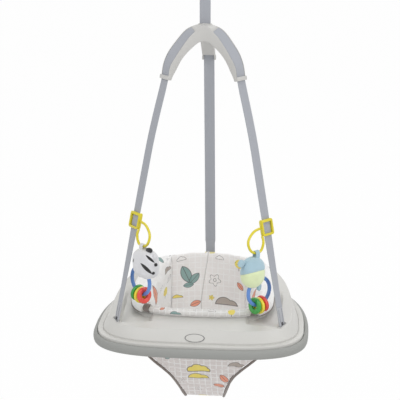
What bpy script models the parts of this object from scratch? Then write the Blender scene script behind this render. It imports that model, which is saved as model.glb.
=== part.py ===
"""Baby doorway jumper: a padded seat in a bumper tray, hung by webbing from a spring and a door clamp.

Units are metres, +Z is up and the child faces -Y. The origin is the clamp's grip on the door frame.
Everything below the clamp is drawn in the seat's own frame, whose zero is the bumper's mid-height
under the hub, and hangs from the empty seat_frame.
"""

import math
from collections import namedtuple
from functools import lru_cache

import bmesh
import bpy
from mathutils import Matrix, Vector
from mathutils.bvhtree import BVHTree

# Clearances
contact_gap = 0.0003
running_gap = 0.0006
cut_overrun = 0.004

# Seat opening, seen from above
opening_half_width = 0.148
opening_centre_y = -0.050
opening_front_reach = 0.092
opening_rear_reach = 0.200
opening_front_power = 3.2
opening_rear_power = 2.4

# Bumper and tray, seen from above
tray_side_width = 0.1084
tray_front_width = 0.1080
tray_rear_width = 0.0750
bumper_centre_y = -0.100
bumper_half_width = opening_half_width + tray_side_width
bumper_front_reach = bumper_centre_y - opening_centre_y + opening_front_reach + tray_front_width
bumper_rear_reach = opening_centre_y - bumper_centre_y + opening_rear_reach + tray_rear_width
bumper_front_power = 3.0
bumper_rear_power = 2.3
bumper_thickness = 0.0122
bumper_height = 0.0355
bumper_depth_shares = (1.0, 0.62, 0.22, 0.0, 0.0, 0.24, 0.62, 1.0)
bumper_height_shares = (0.89, 1.0, 0.74, 0.28, -0.34, -0.78, -1.0, -0.89)
outline_steps = 48

# Tray section, from its edge inwards
tray_wall = 0.0026
tray_skirt_depth = 0.012
ledge_height = 0.0170
ledge_width = 0.0135
step_height = 0.0035
step_run = 0.0020
riser_run = 0.0150
riser_round = 0.0045
deck_fall = 0.0100
rim_round = 0.0080
inner_skirt_depth = 0.030
rim_front_height = 0.0490
rim_rear_height = 0.0930
rim_climb_start_y = -0.120
rim_climb_end_y = 0.130
deck_shares = (0.25, 0.5, 0.75)

# Recess for knees and toys beside the seat
well_depth = 0.012
well_inner_lap = 0.020
well_outer_lap = 0.048
well_front_y = -0.172
well_rear_y = -0.004
well_slope = 0.022

# Webbing
webbing_width = 0.0254
webbing_thickness = 0.0016

# Hub: a front arch carrying two straps, and a rear arm
hub_top = 0.722
arm_width = 0.0310
arch_half_span = 0.0940
arch_centre_y = -0.0190
arch_sweep = 0.0420
arch_height = 0.1110
rear_arm_reach = 0.1180
rear_arm_start = -0.012
outer_run_shares = (0.0, 0.14, 0.28, 0.40, 0.55, 0.72, 0.88, 1.0)
outer_drop_shares = (0.0, 0.028, 0.11, 0.20, 0.37, 0.575, 0.79, 1.0)
inner_run_shares = (0.0, 0.16, 0.33, 0.49, 0.64, 0.79, 0.89, 0.938)
inner_drop_shares = (0.333, 0.365, 0.435, 0.545, 0.685, 0.845, 0.945, 1.015)
channel_depth = 0.0024
channel_trace = 0.0003
channel_start_share = 0.30
keeper_height = 0.0130
keeper_thickness = 0.0034
keeper_overhang = 0.0015

# Feet of the three straps on the tray
foot_inset = 0.0614
front_foot_lead = 0.0210
rear_foot_setback = 0.0210
front_foot_x = bumper_half_width - foot_inset
front_foot_y = opening_centre_y - opening_front_reach - front_foot_lead
rear_foot_y = opening_centre_y + opening_rear_reach + rear_foot_setback
foot_length = 0.045
foot_thickness = 0.0036
foot_run_shares = (1.0, 0.8, 0.35)
foot_width_shares = (1.0, 0.62, 0.62)
foot_end_share = 0.92
collar_width = 0.0320
collar_depth = 0.0110
collar_height = 0.0022
anchor_length = 0.0340
anchor_radius = 0.0032

# Top strap, its adjuster and the steel loop
top_strap_sink = 0.020
adjuster_rise = 0.074
adjuster_width = 0.0390
adjuster_height = 0.0300
adjuster_window_share = 0.6
loop_rise = 0.030
loop_wire = 0.0020
loop_inner_height = 0.0150
ply_spacing = 0.0068
tail_length = 0.0090

# Spring unit
spring_wire = 0.0036
spring_radius = 0.0165
spring_turns = 15
spring_pitch = 0.0074
spring_points = 8
cap_height = 0.0170
cap_radius = 0.0215
cap_wall = 0.0022
eye_radius = 0.0090
eye_wire = 0.0026

# Swivel and door clamp
housing_radius = 0.0120
housing_height = 0.0150
stem_radius = 0.0040
stem_head_radius = 0.0080
stem_head_height = 0.0040
hanger_drop = 0.0300
hanger_bar_radius = 0.0030
hanger_plate_thickness = 0.0040
hanger_width_share = 0.75
hanger_foot_share = 1.4
pivot_drop = 0.0920
pivot_radius = 0.0040
pivot_head_radius = 0.0070
pivot_head_height = 0.0020
ear_radius = 0.0120
ear_thickness = 0.0050
jaw_half_gap = 0.0440
jaw_width = 0.0440
jaw_thickness = 0.0110
jaw_elbow_y = 0.0760
jaw_elbow_drop = 0.0450
jaw_top_rise = 0.0240
jaw_waist_shares = (1.25, 1.0, 1.0, 1.3)
jaw_rise_shares = (-1.6, -0.7, 0.7, 1.5)
jaw_outer_share = 0.4
jaw_tip_share = 0.8
ear_root_shares = (-0.9, 0.85)
pad_height = 0.0360
pad_thickness = 0.0060
pad_rib_depth = 0.0012
pad_rib_count = 5
handle_length = 0.0440
handle_spread = 0.0360
torsion_wire = 0.0020
torsion_radius = (pivot_radius + torsion_wire / 2 + contact_gap) / math.cos(math.pi / 8)
torsion_turns = 4.5
torsion_pitch = 0.0034
torsion_leg = 0.0100

# Seat padding
pad_lift = 0.0012
back_half_width = 0.0930
back_hem_reach = 0.0120
back_thickness = 0.0130
channel_puff = 0.0060
crotch_half_width = 0.0440
crotch_depth = 0.2280
crotch_y = 0.0060
back_edge_share = 0.55
wing_hem_reach = 0.0240
wing_crown_shares = (0.62, 0.20)
wing_thickness = 0.0170
wing_thickness_shares = (0.18, 0.85, 1.15, 1.0, 0.95, 0.80, 0.55, 0.20)
wing_end_share = 0.62
wing_bottom = -0.0680
roll_radius = 0.0125
roll_reach = 0.0105
roll_start_degrees = 220.5
band_length_degrees = 8.0
band_puff = 0.0008
roll_end_share = 0.90
apron_thickness = 0.0050
apron_side_gap = 0.0060
apron_half_width = opening_half_width - apron_side_gap
apron_top_share = 0.80
apron_hem_share = 0.90
binding_radius = 0.0032
binding_gap = 0.0010

# Toys on the front straps: the left one is striped, the right one has two colours
clip_heights = {-1: 0.276, 1: 0.268}
clip_width = 0.0380
clip_height = 0.0420
clip_depth = 0.0086
hook_wire = 0.0027
hook_reach = 0.0660
hook_drop = 0.0505
hook_forward = 0.0130
hook_reach_shares = (0.27, 0.58, 0.84, 1.0, 0.99, 0.86, 0.65, 0.45, 0.355, 0.29, 0.26)
hook_drop_shares = (-0.03, 0.02, 0.16, 0.38, 0.65, 0.88, 1.0, 0.96, 0.77, 0.54, 0.30)
hook_forward_shares = (0.0, 0.15, 0.5, 0.8, 1.0, 1.0, 1.0, 1.0, 1.0, 0.8, 0.2)
toy_loop_wire = 0.0019
toy_loop_lift = 0.0008
plush_half_widths = {-1: 0.0350, 1: 0.0310}
plush_half_depth = 0.0240
plush_half_heights = {-1: 0.0350, 1: 0.0375}
plush_drop = {-1: 0.0903, 1: 0.0953}
plush_reach = 0.0536
ring_drops = {-1: 0.1385, 1: 0.1475}
ring_reach = 0.0335
ring_radius = 0.0330
ring_wire = 0.0045
disc_radius = 0.0200
disc_hole_radius = 0.0078
disc_thickness = 0.0094
disc_angle_degrees = 21.5
disc_tilt_degrees = 8.0

blob_end_share = 0.06
blob_power = 0.85

SIDES = {-1: "left", 1: "right"}
UP = Vector((0, 0, 1))

# Rows of the seat back under the rim: run to the crotch, fall, way it faces, thickness, width, curve
BACK_SHARES = (
    (0.097, 0.088, (0, -1, 0.1), 1, 1, 0.8),
    (0.250, 0.395, (0, -0.95, 0.3), 0.9, 0.95, 0.5),
    (0.521, 0.680, (0, -0.8, 0.6), 0.7, 0.77, 0.2),
    (0.799, 0.877, (0, -0.5, 0.85), 0.5, 0.60, 0),
)
BACK_HEM_SHARES = (0.35, 0.85)
BACK_COLUMN_SHARES = (0, 0.07, 0.25, 0.5, 0.75, 0.93, 1)

# Rows of the front panel under the rim: run to the crotch, fall, way it faces, width, curve
APRON_SHARES = (
    (0.095, 0.175, (0, 1, 0.1), 0.96, 1),
    (0.189, 0.333, (0, 1, 0.3), 1, 0.9),
    (0.250, 0.408, (0, 1, 0.4), 0.86, 0.8),
    (0.338, 0.509, (0, 1, 0.5), 0.70, 0.6),
    (0.426, 0.614, (0, 1, 0.6), 0.54, 0.4),
    (0.601, 0.781, (0, 0.8, 0.7), 0.41, 0.2),
    (0.797, 0.921, (0, 0.5, 0.9), 0.34, 0),
)

# Limbs of each toy: finish, place and size as shares of its body; the first share points inwards
PLUSH_LIMBS = {
    -1: {"muzzle_left": ("plush_black", (0.80, -0.35, -0.28), (0.36, 0.36, 0.36)),
         "tuft_left": ("plush_black", (0.50, 0.0, 0.98), (0.26, 0.30, 0.22)),
         "ear_left": ("plush_white", (0.90, 0.10, 0.60), (0.18, 0.22, 0.22))},
    1: {"ear_right": ("plush_blue", (1.08, 0.10, 0.74), (0.34, 0.26, 0.28)),
        "foot_right": ("plush_blue", (-0.65, 0.0, -1.10), (0.22, 0.22, 0.28))},
}

FINISHES = {
    "tray_white": ((0.66, 0.65, 0.62), 0.42, 0.0),
    "bumper_grey": ((0.36, 0.36, 0.35), 0.60, 0.0),
    "hub_white": ((0.70, 0.70, 0.68), 0.40, 0.0),
    "webbing_grey": ((0.33, 0.35, 0.38), 0.85, 0.0),
    "print_fabric": ((0.70, 0.68, 0.65), 0.92, 0.0),
    "taupe_binding": ((0.22, 0.18, 0.16), 0.90, 0.0),
    "clip_yellow": ((0.85, 0.72, 0.05), 0.35, 0.0),
    "ring_blue": ((0.16, 0.33, 0.66), 0.35, 0.0),
    "disc_red": ((0.85, 0.10, 0.06), 0.35, 0.0),
    "disc_yellow": ((0.90, 0.78, 0.06), 0.35, 0.0),
    "disc_green": ((0.07, 0.45, 0.08), 0.35, 0.0),
    "plush_white": ((0.82, 0.82, 0.84), 0.95, 0.0),
    "plush_black": ((0.03, 0.03, 0.03), 0.95, 0.0),
    "plush_blue": ((0.36, 0.56, 0.66), 0.95, 0.0),
    "plush_green": ((0.62, 0.76, 0.42), 0.95, 0.0),
    "steel": ((0.62, 0.62, 0.63), 0.30, 1.0),
    "rubber_grey": ((0.12, 0.12, 0.13), 0.80, 0.0),
    "moulded_grey": ((0.30, 0.30, 0.31), 0.55, 0.0),
}

Station = namedtuple("Station", "outer inner across outward along share")


# Scene and object helpers


def clear_scene():
    """Remove whatever the scene holds."""
    for thing in list(bpy.data.objects):
        bpy.data.objects.remove(thing, do_unlink=True)


def finish_of(name):
    """Return the named finish as a material, made once."""
    found = bpy.data.materials.get(name)
    if found:
        return found
    colour, roughness, metallic = FINISHES[name]
    made = bpy.data.materials.new(name)
    made.use_nodes = True
    shader = made.node_tree.nodes["Principled BSDF"]
    shader.inputs["Base Color"].default_value = (*colour, 1.0)
    shader.inputs["Roughness"].default_value = roughness
    shader.inputs["Metallic"].default_value = metallic
    return made


def empty(name, location, parent=None, turn=None):
    """Add an empty at a place in its parent's frame, turned if asked."""
    made = bpy.data.objects.new(name, None)
    bpy.context.scene.collection.objects.link(made)
    made.parent = parent
    made.matrix_local = Matrix.Translation(location) @ (turn.to_4x4() if turn else Matrix.Identity(4))
    return made


def object_from(name, mesh, finish=None, parent=None, at=(0, 0, 0)):
    """Turn an edited mesh into an object whose origin is at a point of its parent's frame."""
    bmesh.ops.triangulate(mesh, faces=mesh.faces)
    bmesh.ops.recalc_face_normals(mesh, faces=mesh.faces)
    bmesh.ops.translate(mesh, verts=mesh.verts, vec=-Vector(at))
    data = bpy.data.meshes.new(name)
    mesh.to_mesh(data)
    mesh.free()
    made = bpy.data.objects.new(name, data)
    bpy.context.scene.collection.objects.link(made)
    made.parent = parent
    made.location = at
    if finish:
        data.materials.append(finish_of(finish))
    data.shade_smooth()
    data.set_sharp_from_angle(angle=math.radians(35))
    return made


def placed(thing, parent, at, turn=None):
    """Hang an object on its parent at a place, with an optional rotation."""
    thing.parent = parent
    thing.matrix_local = Matrix.Translation(at) @ (turn.to_4x4() if turn else Matrix.Identity(4))
    return thing


def combine(target, other, operation):
    """Add or cut another solid, which is then only a guide."""
    change = target.modifiers.new(operation.lower() + "_" + other.name, "BOOLEAN")
    change.operation = operation
    change.solver = "EXACT"
    change.object = other
    other.hide_render = True
    other.display_type = "WIRE"
    return target


# Shapes


def smooth_share(value, low, high):
    """Return 0 below low, 1 above high and an eased value between."""
    share = min(max((value - low) / (high - low), 0), 1)
    return share * share * (3 - 2 * share)


def circle_turns(steps):
    """Return equal turns round a circle."""
    return [2 * math.pi * k / steps for k in range(steps)]


def spline(points, steps):
    """Return points on a smooth curve through the given ones, with steps to each stretch."""
    points = [Vector(point) for point in points]
    ends = [2 * points[0] - points[1], *points, 2 * points[-1] - points[-2]]
    curve = []
    for before, start, stop, after in zip(ends, ends[1:], ends[2:], ends[3:]):
        for step in range(steps):
            t = step / steps
            curve.append(0.5 * (2 * start + (stop - before) * t
                                + (2 * before - 5 * start + 4 * stop - after) * t * t
                                + (3 * start - before - 3 * stop + after) * t ** 3))
    return curve + [points[-1]]


def add_loft(mesh, sections, closed=False, strips=True):
    """Bridge equal rings of points into one closed body, with strips or polygons over open ends."""
    rings = [[mesh.verts.new(point) for point in section] for section in sections]
    count = len(rings[0])
    following = rings[1:] + rings[:1] if closed else rings[1:]
    for near, far in zip(rings, following):
        for i in range(count):
            j = (i + 1) % count
            mesh.faces.new((near[i], near[j], far[j], far[i]))
    if closed:
        return
    for ring in (rings[0], rings[-1]):
        if strips:
            for i in range(count // 2 - 1):
                mesh.faces.new((ring[i], ring[i + 1], ring[count - 2 - i], ring[count - 1 - i]))
        else:
            mesh.faces.new(ring)


def loft(name, sections, finish=None, parent=None, at=(0, 0, 0), closed=False, strips=True):
    """Make an object by bridging sections."""
    mesh = bmesh.new()
    add_loft(mesh, sections, closed, strips)
    return object_from(name, mesh, finish, parent, at)


def rod_sections(points, radius, sides, closed=False):
    """Return round sections square to a path, turned as little as possible along it."""
    points = [Vector(point) for point in points]
    count = len(points)
    across = None
    sections = []
    for i, point in enumerate(points):
        before = points[i - 1] if closed or i else point
        after = points[(i + 1) % count] if closed or i < count - 1 else point
        along = (after - before).normalized()
        if across is None:
            across = along.orthogonal()
        across = (across - along * across.dot(along)).normalized()
        over = along.cross(across)
        sections.append([point + radius * (math.cos(turn) * across + math.sin(turn) * over)
                         for turn in circle_turns(sides)])
    return sections


def rod(name, points, radius, finish=None, parent=None, at=(0, 0, 0), sides=8, closed=False):
    """Make a round rod along a path."""
    return loft(name, rod_sections(points, radius, sides, closed), finish, parent, at, closed)


def block(name, low, high, finish=None, parent=None, at=(0, 0, 0), turn=None):
    """Make a box between two corners of its own frame."""
    mesh = bmesh.new()
    verts = [mesh.verts.new((x, y, z)) for x in (low[0], high[0]) for y in (low[1], high[1])
             for z in (low[2], high[2])]
    for face in ((0, 1, 3, 2), (4, 6, 7, 5), (0, 4, 5, 1), (2, 3, 7, 6), (0, 2, 6, 4), (1, 5, 7, 3)):
        mesh.faces.new([verts[i] for i in face])
    return placed(object_from(name, mesh, finish), parent, at, turn)


def plate(name, outline, thickness, finish=None, parent=None, at=(0, 0, 0), turn=None):
    """Extrude a flat outline of its own XZ plane by a thickness centred on Y."""
    mesh = bmesh.new()
    face = mesh.faces.new([mesh.verts.new((x, -thickness / 2, z)) for x, z in outline])
    moved = bmesh.ops.extrude_face_region(mesh, geom=[face])["geom"]
    verts = [item for item in moved if isinstance(item, bmesh.types.BMVert)]
    bmesh.ops.translate(mesh, verts=verts, vec=(0, thickness, 0))
    return placed(object_from(name, mesh, finish), parent, at, turn)


def turned(name, profile, steps, finish=None, parent=None, at=(0, 0, 0), turn=None):
    """Spin a closed profile of radius and height about its own Z axis."""
    mesh = bmesh.new()
    add_loft(mesh, [[(r * math.cos(a), r * math.sin(a), z) for r, z in profile]
                    for a in circle_turns(steps)], closed=True)
    return placed(object_from(name, mesh, finish), parent, at, turn)


def stacked(name, profile, steps, finish=None, parent=None, at=(0, 0, 0), turn=None):
    """Bridge circles of the given radii and heights, closed at both ends."""
    mesh = bmesh.new()
    add_loft(mesh, [[(r * math.cos(a), r * math.sin(a), z) for a in circle_turns(steps)] for r, z in profile])
    return placed(object_from(name, mesh, finish), parent, at, turn)


def rounded_rectangle(width, height, radius, steps=4):
    """Return the outline of a rectangle with round corners."""
    outline = []
    for corner, (sx, sz) in enumerate(((1, 1), (-1, 1), (-1, -1), (1, -1))):
        for step in range(steps + 1):
            angle = math.pi / 2 * (corner + step / steps)
            outline.append((sx * (width / 2 - radius) + radius * math.cos(angle),
                            sz * (height / 2 - radius) + radius * math.sin(angle)))
    return outline


def ribbon(name, stations, thickness, finish, parent):
    """Loft a flat strap through stations of centre, half-width vector and face direction."""
    sections = [[centre + across + face * thickness / 2, centre - across + face * thickness / 2,
                 centre - across - face * thickness / 2, centre + across - face * thickness / 2]
                for centre, across, face in stations]
    return loft(name, sections, finish, parent)


# Plan curves of the tray


def superellipse(angle, half_width, centre_y, front, rear, front_power, rear_power):
    """Return the point at an angle of an egg-shaped plan curve; its front is towards -Y."""
    c, s = math.cos(angle), math.sin(angle)
    reach, power = (rear, rear_power) if s >= 0 else (front, front_power)
    return Vector((half_width * math.copysign(abs(c) ** (2 / power), c),
                   centre_y + reach * math.copysign(abs(s) ** (2 / power), s), 0))


def outline_point(angle):
    """Return the bumper's outermost plan point."""
    return superellipse(angle, bumper_half_width, bumper_centre_y, bumper_front_reach,
                        bumper_rear_reach, bumper_front_power, bumper_rear_power)


def opening_point(angle):
    """Return the plan point of the seat opening's edge."""
    return superellipse(angle, opening_half_width, opening_centre_y, opening_front_reach,
                        opening_rear_reach, opening_front_power, opening_rear_power)


def opening_y(x, rear):
    """Return the Y of the opening's edge at an X, on its rear or front half."""
    reach, power = (opening_rear_reach, opening_rear_power) if rear else (-opening_front_reach,
                                                                          opening_front_power)
    share = min(abs(x) / opening_half_width, 1)
    return opening_centre_y + reach * (1 - share ** power) ** (1 / power)


def rear_angle(x):
    """Return the angle at which the opening's rear half passes an X."""
    return math.acos((x / opening_half_width) ** (opening_rear_power / 2))


def rim_height(y):
    """Return the height of the tray's rim, which climbs from the front to the back."""
    return rim_front_height + (rim_rear_height - rim_front_height) * smooth_share(
        y, rim_climb_start_y, rim_climb_end_y)


def well_at(x, y):
    """Return how far the deck is sunk at a plan point by the recess beside the seat."""
    inner = opening_half_width - well_inner_lap
    outer = opening_half_width + well_outer_lap
    across = (smooth_share(abs(x), inner - well_slope, inner)
              * (1 - smooth_share(abs(x), outer - well_slope, outer)))
    along = (smooth_share(y, well_front_y, well_front_y + well_slope)
             * (1 - smooth_share(y, well_rear_y - 2 * well_slope, well_rear_y)))
    return well_depth * across * along


def deck_start():
    """Return the distance from the bumper's outside at which the tray's deck begins."""
    return bumper_thickness + contact_gap + ledge_width + step_run + riser_run + riser_round


def deck_profile(share, rim):
    """Return the deck's height at a share of its run, before the recess is sunk."""
    return rim - deck_fall + deck_fall * math.sin(share * math.pi / 2)


def tray_section(angle):
    """Return the closed section of the tray shell at one angle, skin first and then underside."""
    outer, inner = outline_point(angle), opening_point(angle)
    inward = (inner - outer).normalized()
    reach = (inner - outer).length
    edge = bumper_thickness + contact_gap
    ledge = edge + ledge_width
    riser = ledge + step_run + riser_run
    rim = rim_height(inner.y)
    deck_edge = rim - deck_fall

    def at(distance, height):
        point = outer + inward * distance
        return Vector((point.x, point.y, height))

    def deck_at(share, drop):
        distance = deck_start() + (reach - rim_round - deck_start()) * share
        point = outer + inward * distance
        return at(distance, deck_profile(share, rim) - well_at(point.x, point.y) - drop)

    skin = [at(edge, -tray_skirt_depth), at(edge, ledge_height - 2 * step_run),
            at(edge + step_run, ledge_height - step_run / 2), at(ledge, ledge_height),
            at(ledge + step_run, ledge_height + step_height), at(riser, deck_edge - step_height),
            deck_at(0, 0), *[deck_at(share, 0) for share in deck_shares], deck_at(1, 0),
            at(reach - step_run, rim - step_run), at(reach, rim - rim_round),
            at(reach, rim - inner_skirt_depth)]
    under = [at(reach - tray_wall, rim - inner_skirt_depth), at(reach - tray_wall, rim - rim_round),
             at(reach - rim_round + tray_wall, rim - tray_wall - step_run / 2),
             *[deck_at(share, tray_wall) for share in reversed(deck_shares)],
             deck_at(0, tray_wall + step_run / 2),
             at(riser + step_run, deck_edge - step_height - tray_wall),
             at(ledge + step_run + tray_wall, ledge_height + step_height - tray_wall),
             at(ledge + step_run, ledge_height - tray_wall),
             at(edge + tray_wall, ledge_height - 2 * step_run - tray_wall / 2),
             at(edge + tray_wall, -tray_skirt_depth)]
    return skin + under


@lru_cache(maxsize=1)
def tray_surface():
    """Return the tray's faces as a surface that rays can be cast on."""
    mesh = bmesh.new()
    add_loft(mesh, [tray_section(angle) for angle in circle_turns(outline_steps)], closed=True)
    bmesh.ops.triangulate(mesh, faces=mesh.faces)
    surface = BVHTree.FromBMesh(mesh)
    mesh.free()
    return surface


def deck_height(x, y):
    """Return the height of the tray's skin over a plan point."""
    return tray_surface().ray_cast(Vector((x, y, 2 * rim_rear_height)), -UP)[0].z


# Tray and bumper


def build_tray(parent):
    """Make the moulded tray with its ledge, step, sloping deck, side recesses and rolled rim."""
    tray = loft("tray", [tray_section(angle) for angle in circle_turns(outline_steps)],
                "tray_white", parent, closed=True)
    for side, name in SIDES.items():
        combine(tray, slot_cutter(name, strap_foot(side), strap_turn(side), parent), "DIFFERENCE")
    combine(tray, slot_cutter("rear", rear_foot(), Matrix.Identity(3), parent), "DIFFERENCE")


def slot_cutter(name, place, turn, parent):
    """Make the cutter of one strap slot through the deck."""
    half = webbing_width / 2 + running_gap
    depth = foot_thickness / 2 + 2 * running_gap
    return block(f"slot_cutter_{name}", (-half, -depth, -6 * cut_overrun), (half, depth, 4 * cut_overrun),
                 None, parent, place, turn)


def build_bumper(parent):
    """Make the soft ring that closes round the tray's skirt."""
    shape = list(zip(bumper_depth_shares, bumper_height_shares))
    sections = []
    for angle in circle_turns(outline_steps):
        outer = outline_point(angle)
        inward = (opening_point(angle) - outer).normalized()
        sections.append([outer + inward * depth * bumper_thickness + UP * height * bumper_height / 2
                         for depth, height in shape])
    loft("bumper", sections, "bumper_grey", parent, closed=True)


# Hub


def arm_profile():
    """Return the outer and inner stations of an arm, each a share of its run and a height."""
    outer = spline([(run, drop, 0) for run, drop in zip(outer_run_shares, outer_drop_shares)], 2)
    inner = spline([(run, drop, 0) for run, drop in zip(inner_run_shares, inner_drop_shares)], 2)
    return [((o.x, hub_top - arch_height * o.y), (i.x, hub_top - arch_height * i.y))
            for o, i in zip(outer, inner)]


def arm_place(side, share, height):
    """Return a point over an arm's middle line and the level direction across the arm."""
    if side == 0:
        run = rear_arm_start + (rear_arm_reach - rear_arm_start) * share
        return Vector((0, run, height)), Vector((1, 0, 0))
    share *= side
    along = Vector((arch_half_span, -2 * arch_sweep * share, 0)).normalized()
    return (Vector((arch_half_span * share, arch_centre_y - arch_sweep * share * share, height)),
            Vector((-along.y, along.x, 0)))


def arm_stations(side):
    """Return an arm's stations from the hub's middle to its tip; side 0 is the rear arm."""
    profile = arm_profile()
    outers = [arm_place(side, *outer) for outer, _ in profile]
    stations = []
    for i, (outer, inner) in enumerate(profile):
        place, across = outers[i]
        along = (outers[min(i + 1, len(outers) - 1)][0] - outers[max(i - 1, 0)][0]).normalized()
        outward = along.cross(across).normalized()
        outward = outward if outward.z > 0 else -outward
        stations.append(Station(place, arm_place(side, *inner)[0], across, outward, along, outer[0]))
    return stations


def arm_section(station):
    """Return an arm's section: a flat-sided beam with the webbing's channel sunk in its outer face."""
    half = station.across * arm_width / 2
    lip = station.across * (webbing_width / 2 + running_gap)
    depth = station.outward * (channel_depth if station.share >= channel_start_share else channel_trace)
    return [station.inner - half, station.outer - half, station.outer - lip, station.outer - lip - depth,
            station.outer + lip - depth, station.outer + lip, station.outer + half, station.inner + half]


def build_hub(parent):
    """Make the three-armed hub: one swept front arch, a rear arm and a keeper bar on each tip."""
    left, right = ([arm_section(station) for station in arm_stations(side)] for side in SIDES)
    hub = loft("hub", left[:0:-1] + right, "hub_white", parent, strips=False)
    rear = loft("rear_arm_guide", [arm_section(station) for station in arm_stations(0)], None, parent,
                strips=False)
    for arm, side, name in ((hub, -1, "left"), (hub, 1, "right"), (rear, 0, "rear")):
        combine(arm, keeper(f"keeper_guide_{name}", arm_stations(side)[-1], parent), "UNION")
    combine(hub, rear, "UNION")
    half = webbing_width / 2 + running_gap
    depth = webbing_thickness / 2 + running_gap
    slot = block("top_slot_cutter", (-half, -depth, -top_strap_sink - contact_gap),
                 (half, depth, cut_overrun), None, parent, (0, 0, hub_top))
    combine(hub, slot, "DIFFERENCE")


def keeper(name, tip, parent):
    """Make the bridge over an arm's tip, under which the strap leaves: two cheeks and a bar."""
    wide = arm_width / 2 + keeper_overhang
    lip = webbing_width / 2 + 2 * running_gap
    base = -channel_depth - keeper_thickness
    roof = contact_gap
    outline = ((-wide, base), (-wide, keeper_thickness), (wide, keeper_thickness), (wide, base), (lip, base),
               (lip, roof), (-lip, roof), (-lip, base))
    sections = [[tip.outer + tip.across * offset + tip.outward * lift + tip.along * run
                 for offset, lift in outline] for run in (-keeper_height, -running_gap)]
    return loft(name, sections, None, parent, strips=False)


# Straps


def strap_foot(side):
    """Return where a front strap meets the deck."""
    return Vector((side * front_foot_x, front_foot_y, deck_height(front_foot_x, front_foot_y)))


def rear_foot():
    """Return where the rear strap meets the deck."""
    return Vector((0, rear_foot_y, deck_height(0, rear_foot_y)))


def channel_route(side):
    """Return the ribbon's stations inside an arm's channel."""
    lift = channel_depth - contact_gap - webbing_thickness / 2
    stations = [station for station in arm_stations(side) if station.share >= channel_start_share]
    return [(station.outer - station.outward * lift, station.across * webbing_width / 2, station.outward)
            for station in stations]


def strap_line(side, foot):
    """Return the strap's last place on the hub, its way down, and its level and face directions."""
    tip, across, _ = channel_route(side)[-1]
    along = (foot - tip).normalized()
    level = Vector((along.y, -along.x, 0)).normalized()
    level = level if level.dot(across) > 0 else -level
    face = along.cross(level).normalized()
    return tip, along, level, face if face.z > 0 else -face


def strap_turn(side):
    """Return the upright frame of a front strap: X across it and Y away from the viewer."""
    _, _, level, _ = strap_line(side, strap_foot(side))
    return Matrix((level * side, UP.cross(level * side), UP)).transposed()


def build_lower_straps(parent):
    """Make the three straps from the hub to the tray, each with its sewn foot, collar and anchor."""
    for side, name in ((-1, "left"), (1, "right"), (0, "rear")):
        foot = strap_foot(side) if side else rear_foot()
        tip, along, level, face = strap_line(side, foot)
        length = (foot - tip).length
        stations = channel_route(side) + [(tip + along * run, level * webbing_width / 2, face)
                                          for run in (keeper_height, length / 2,
                                                      length - foot_length - contact_gap)]
        ribbon(f"strap_{name}", stations, webbing_thickness, "webbing_grey", parent)
        build_foot(name, foot, along, level, face, parent)
        build_collar(name, foot, strap_turn(side) if side else Matrix.Identity(3), parent)


def build_foot(name, foot, along, level, face, parent):
    """Make the doubled and sewn end of a strap, narrowest at its middle, that dips into the slot."""
    widths = [(foot_length * run, width) for run, width in zip(foot_run_shares, foot_width_shares)]
    widths.append((2 * tray_wall, foot_end_share))
    half = webbing_width / 2
    stations = [(foot - along * back, level * half * share, face) for back, share in widths]
    upright = Vector((face.x, face.y, 0)).normalized()
    below = foot - UP * (2 * tray_wall + anchor_radius)
    stations += [(place, level * half * foot_end_share, upright) for place in (foot, below)]
    ribbon(f"strap_foot_{name}", stations, foot_thickness, "webbing_grey", parent)
    centre = below - UP * (anchor_radius + contact_gap)
    rod(f"strap_anchor_{name}", [centre - level * anchor_length / 2, centre + level * anchor_length / 2],
        anchor_radius, "moulded_grey", parent, centre)


def build_collar(name, foot, turn, parent):
    """Make the raised collar round a strap slot; it follows the deck under it."""
    gap = 2 * running_gap
    inner = rounded_rectangle(webbing_width + 2 * gap, foot_thickness + 4 * gap, gap, 2)
    outer = rounded_rectangle(collar_width, collar_depth, collar_depth / 3, 2)
    pairs = [[foot + turn @ Vector((x, y, 0)) for x, y in pair] for pair in zip(inner, outer)]
    levels = []
    for near, far in pairs:
        places = [near.lerp(far, share) for share in (0, 0.25, 0.5, 0.75, 1)]
        levels.append(max(deck_height(place.x, place.y) for place in places))
    sections = []
    for i, (near, far) in enumerate(pairs):
        low = max(levels[i - 1], levels[i], levels[(i + 1) % len(levels)]) + 2 * contact_gap
        sections.append([Vector((near.x, near.y, low)), Vector((near.x, near.y, low + collar_height)),
                         Vector((far.x, far.y, low + collar_height / 2)), Vector((far.x, far.y, low))])
    loft(f"slot_collar_{name}", sections, "hub_white", parent, closed=True)


# Upper strap and its metal


def upper_levels():
    """Return the heights of the upper assembly, counted up from the hub."""
    adjuster = hub_top + adjuster_rise + adjuster_height / 2
    bar = adjuster + adjuster_height / 2 + loop_rise
    loop_top = bar + loop_inner_height + 2 * loop_wire
    eye = loop_top + eye_radius - eye_wire - loop_wire - contact_gap
    cap = eye + eye_radius
    coil_start = cap + cap_wall + spring_wire / 2 + contact_gap
    coil_end = coil_start + spring_turns * spring_pitch
    top_cap = coil_end + spring_wire / 2 + contact_gap + cap_wall
    housing = top_cap + contact_gap
    top_eye = housing + housing_height + running_gap + eye_radius + eye_wire
    hanger_bar = top_eye + eye_radius - eye_wire - hanger_bar_radius - running_gap
    pivot = hanger_bar + hanger_drop
    return {"adjuster": adjuster, "bar": bar, "loop_top": loop_top, "eye": eye, "cap": cap,
            "coil_start": coil_start, "coil_end": coil_end, "top_cap": top_cap, "housing": housing,
            "top_eye": top_eye, "hanger_bar": hanger_bar, "pivot": pivot, "grip": pivot + pivot_drop}


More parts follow.
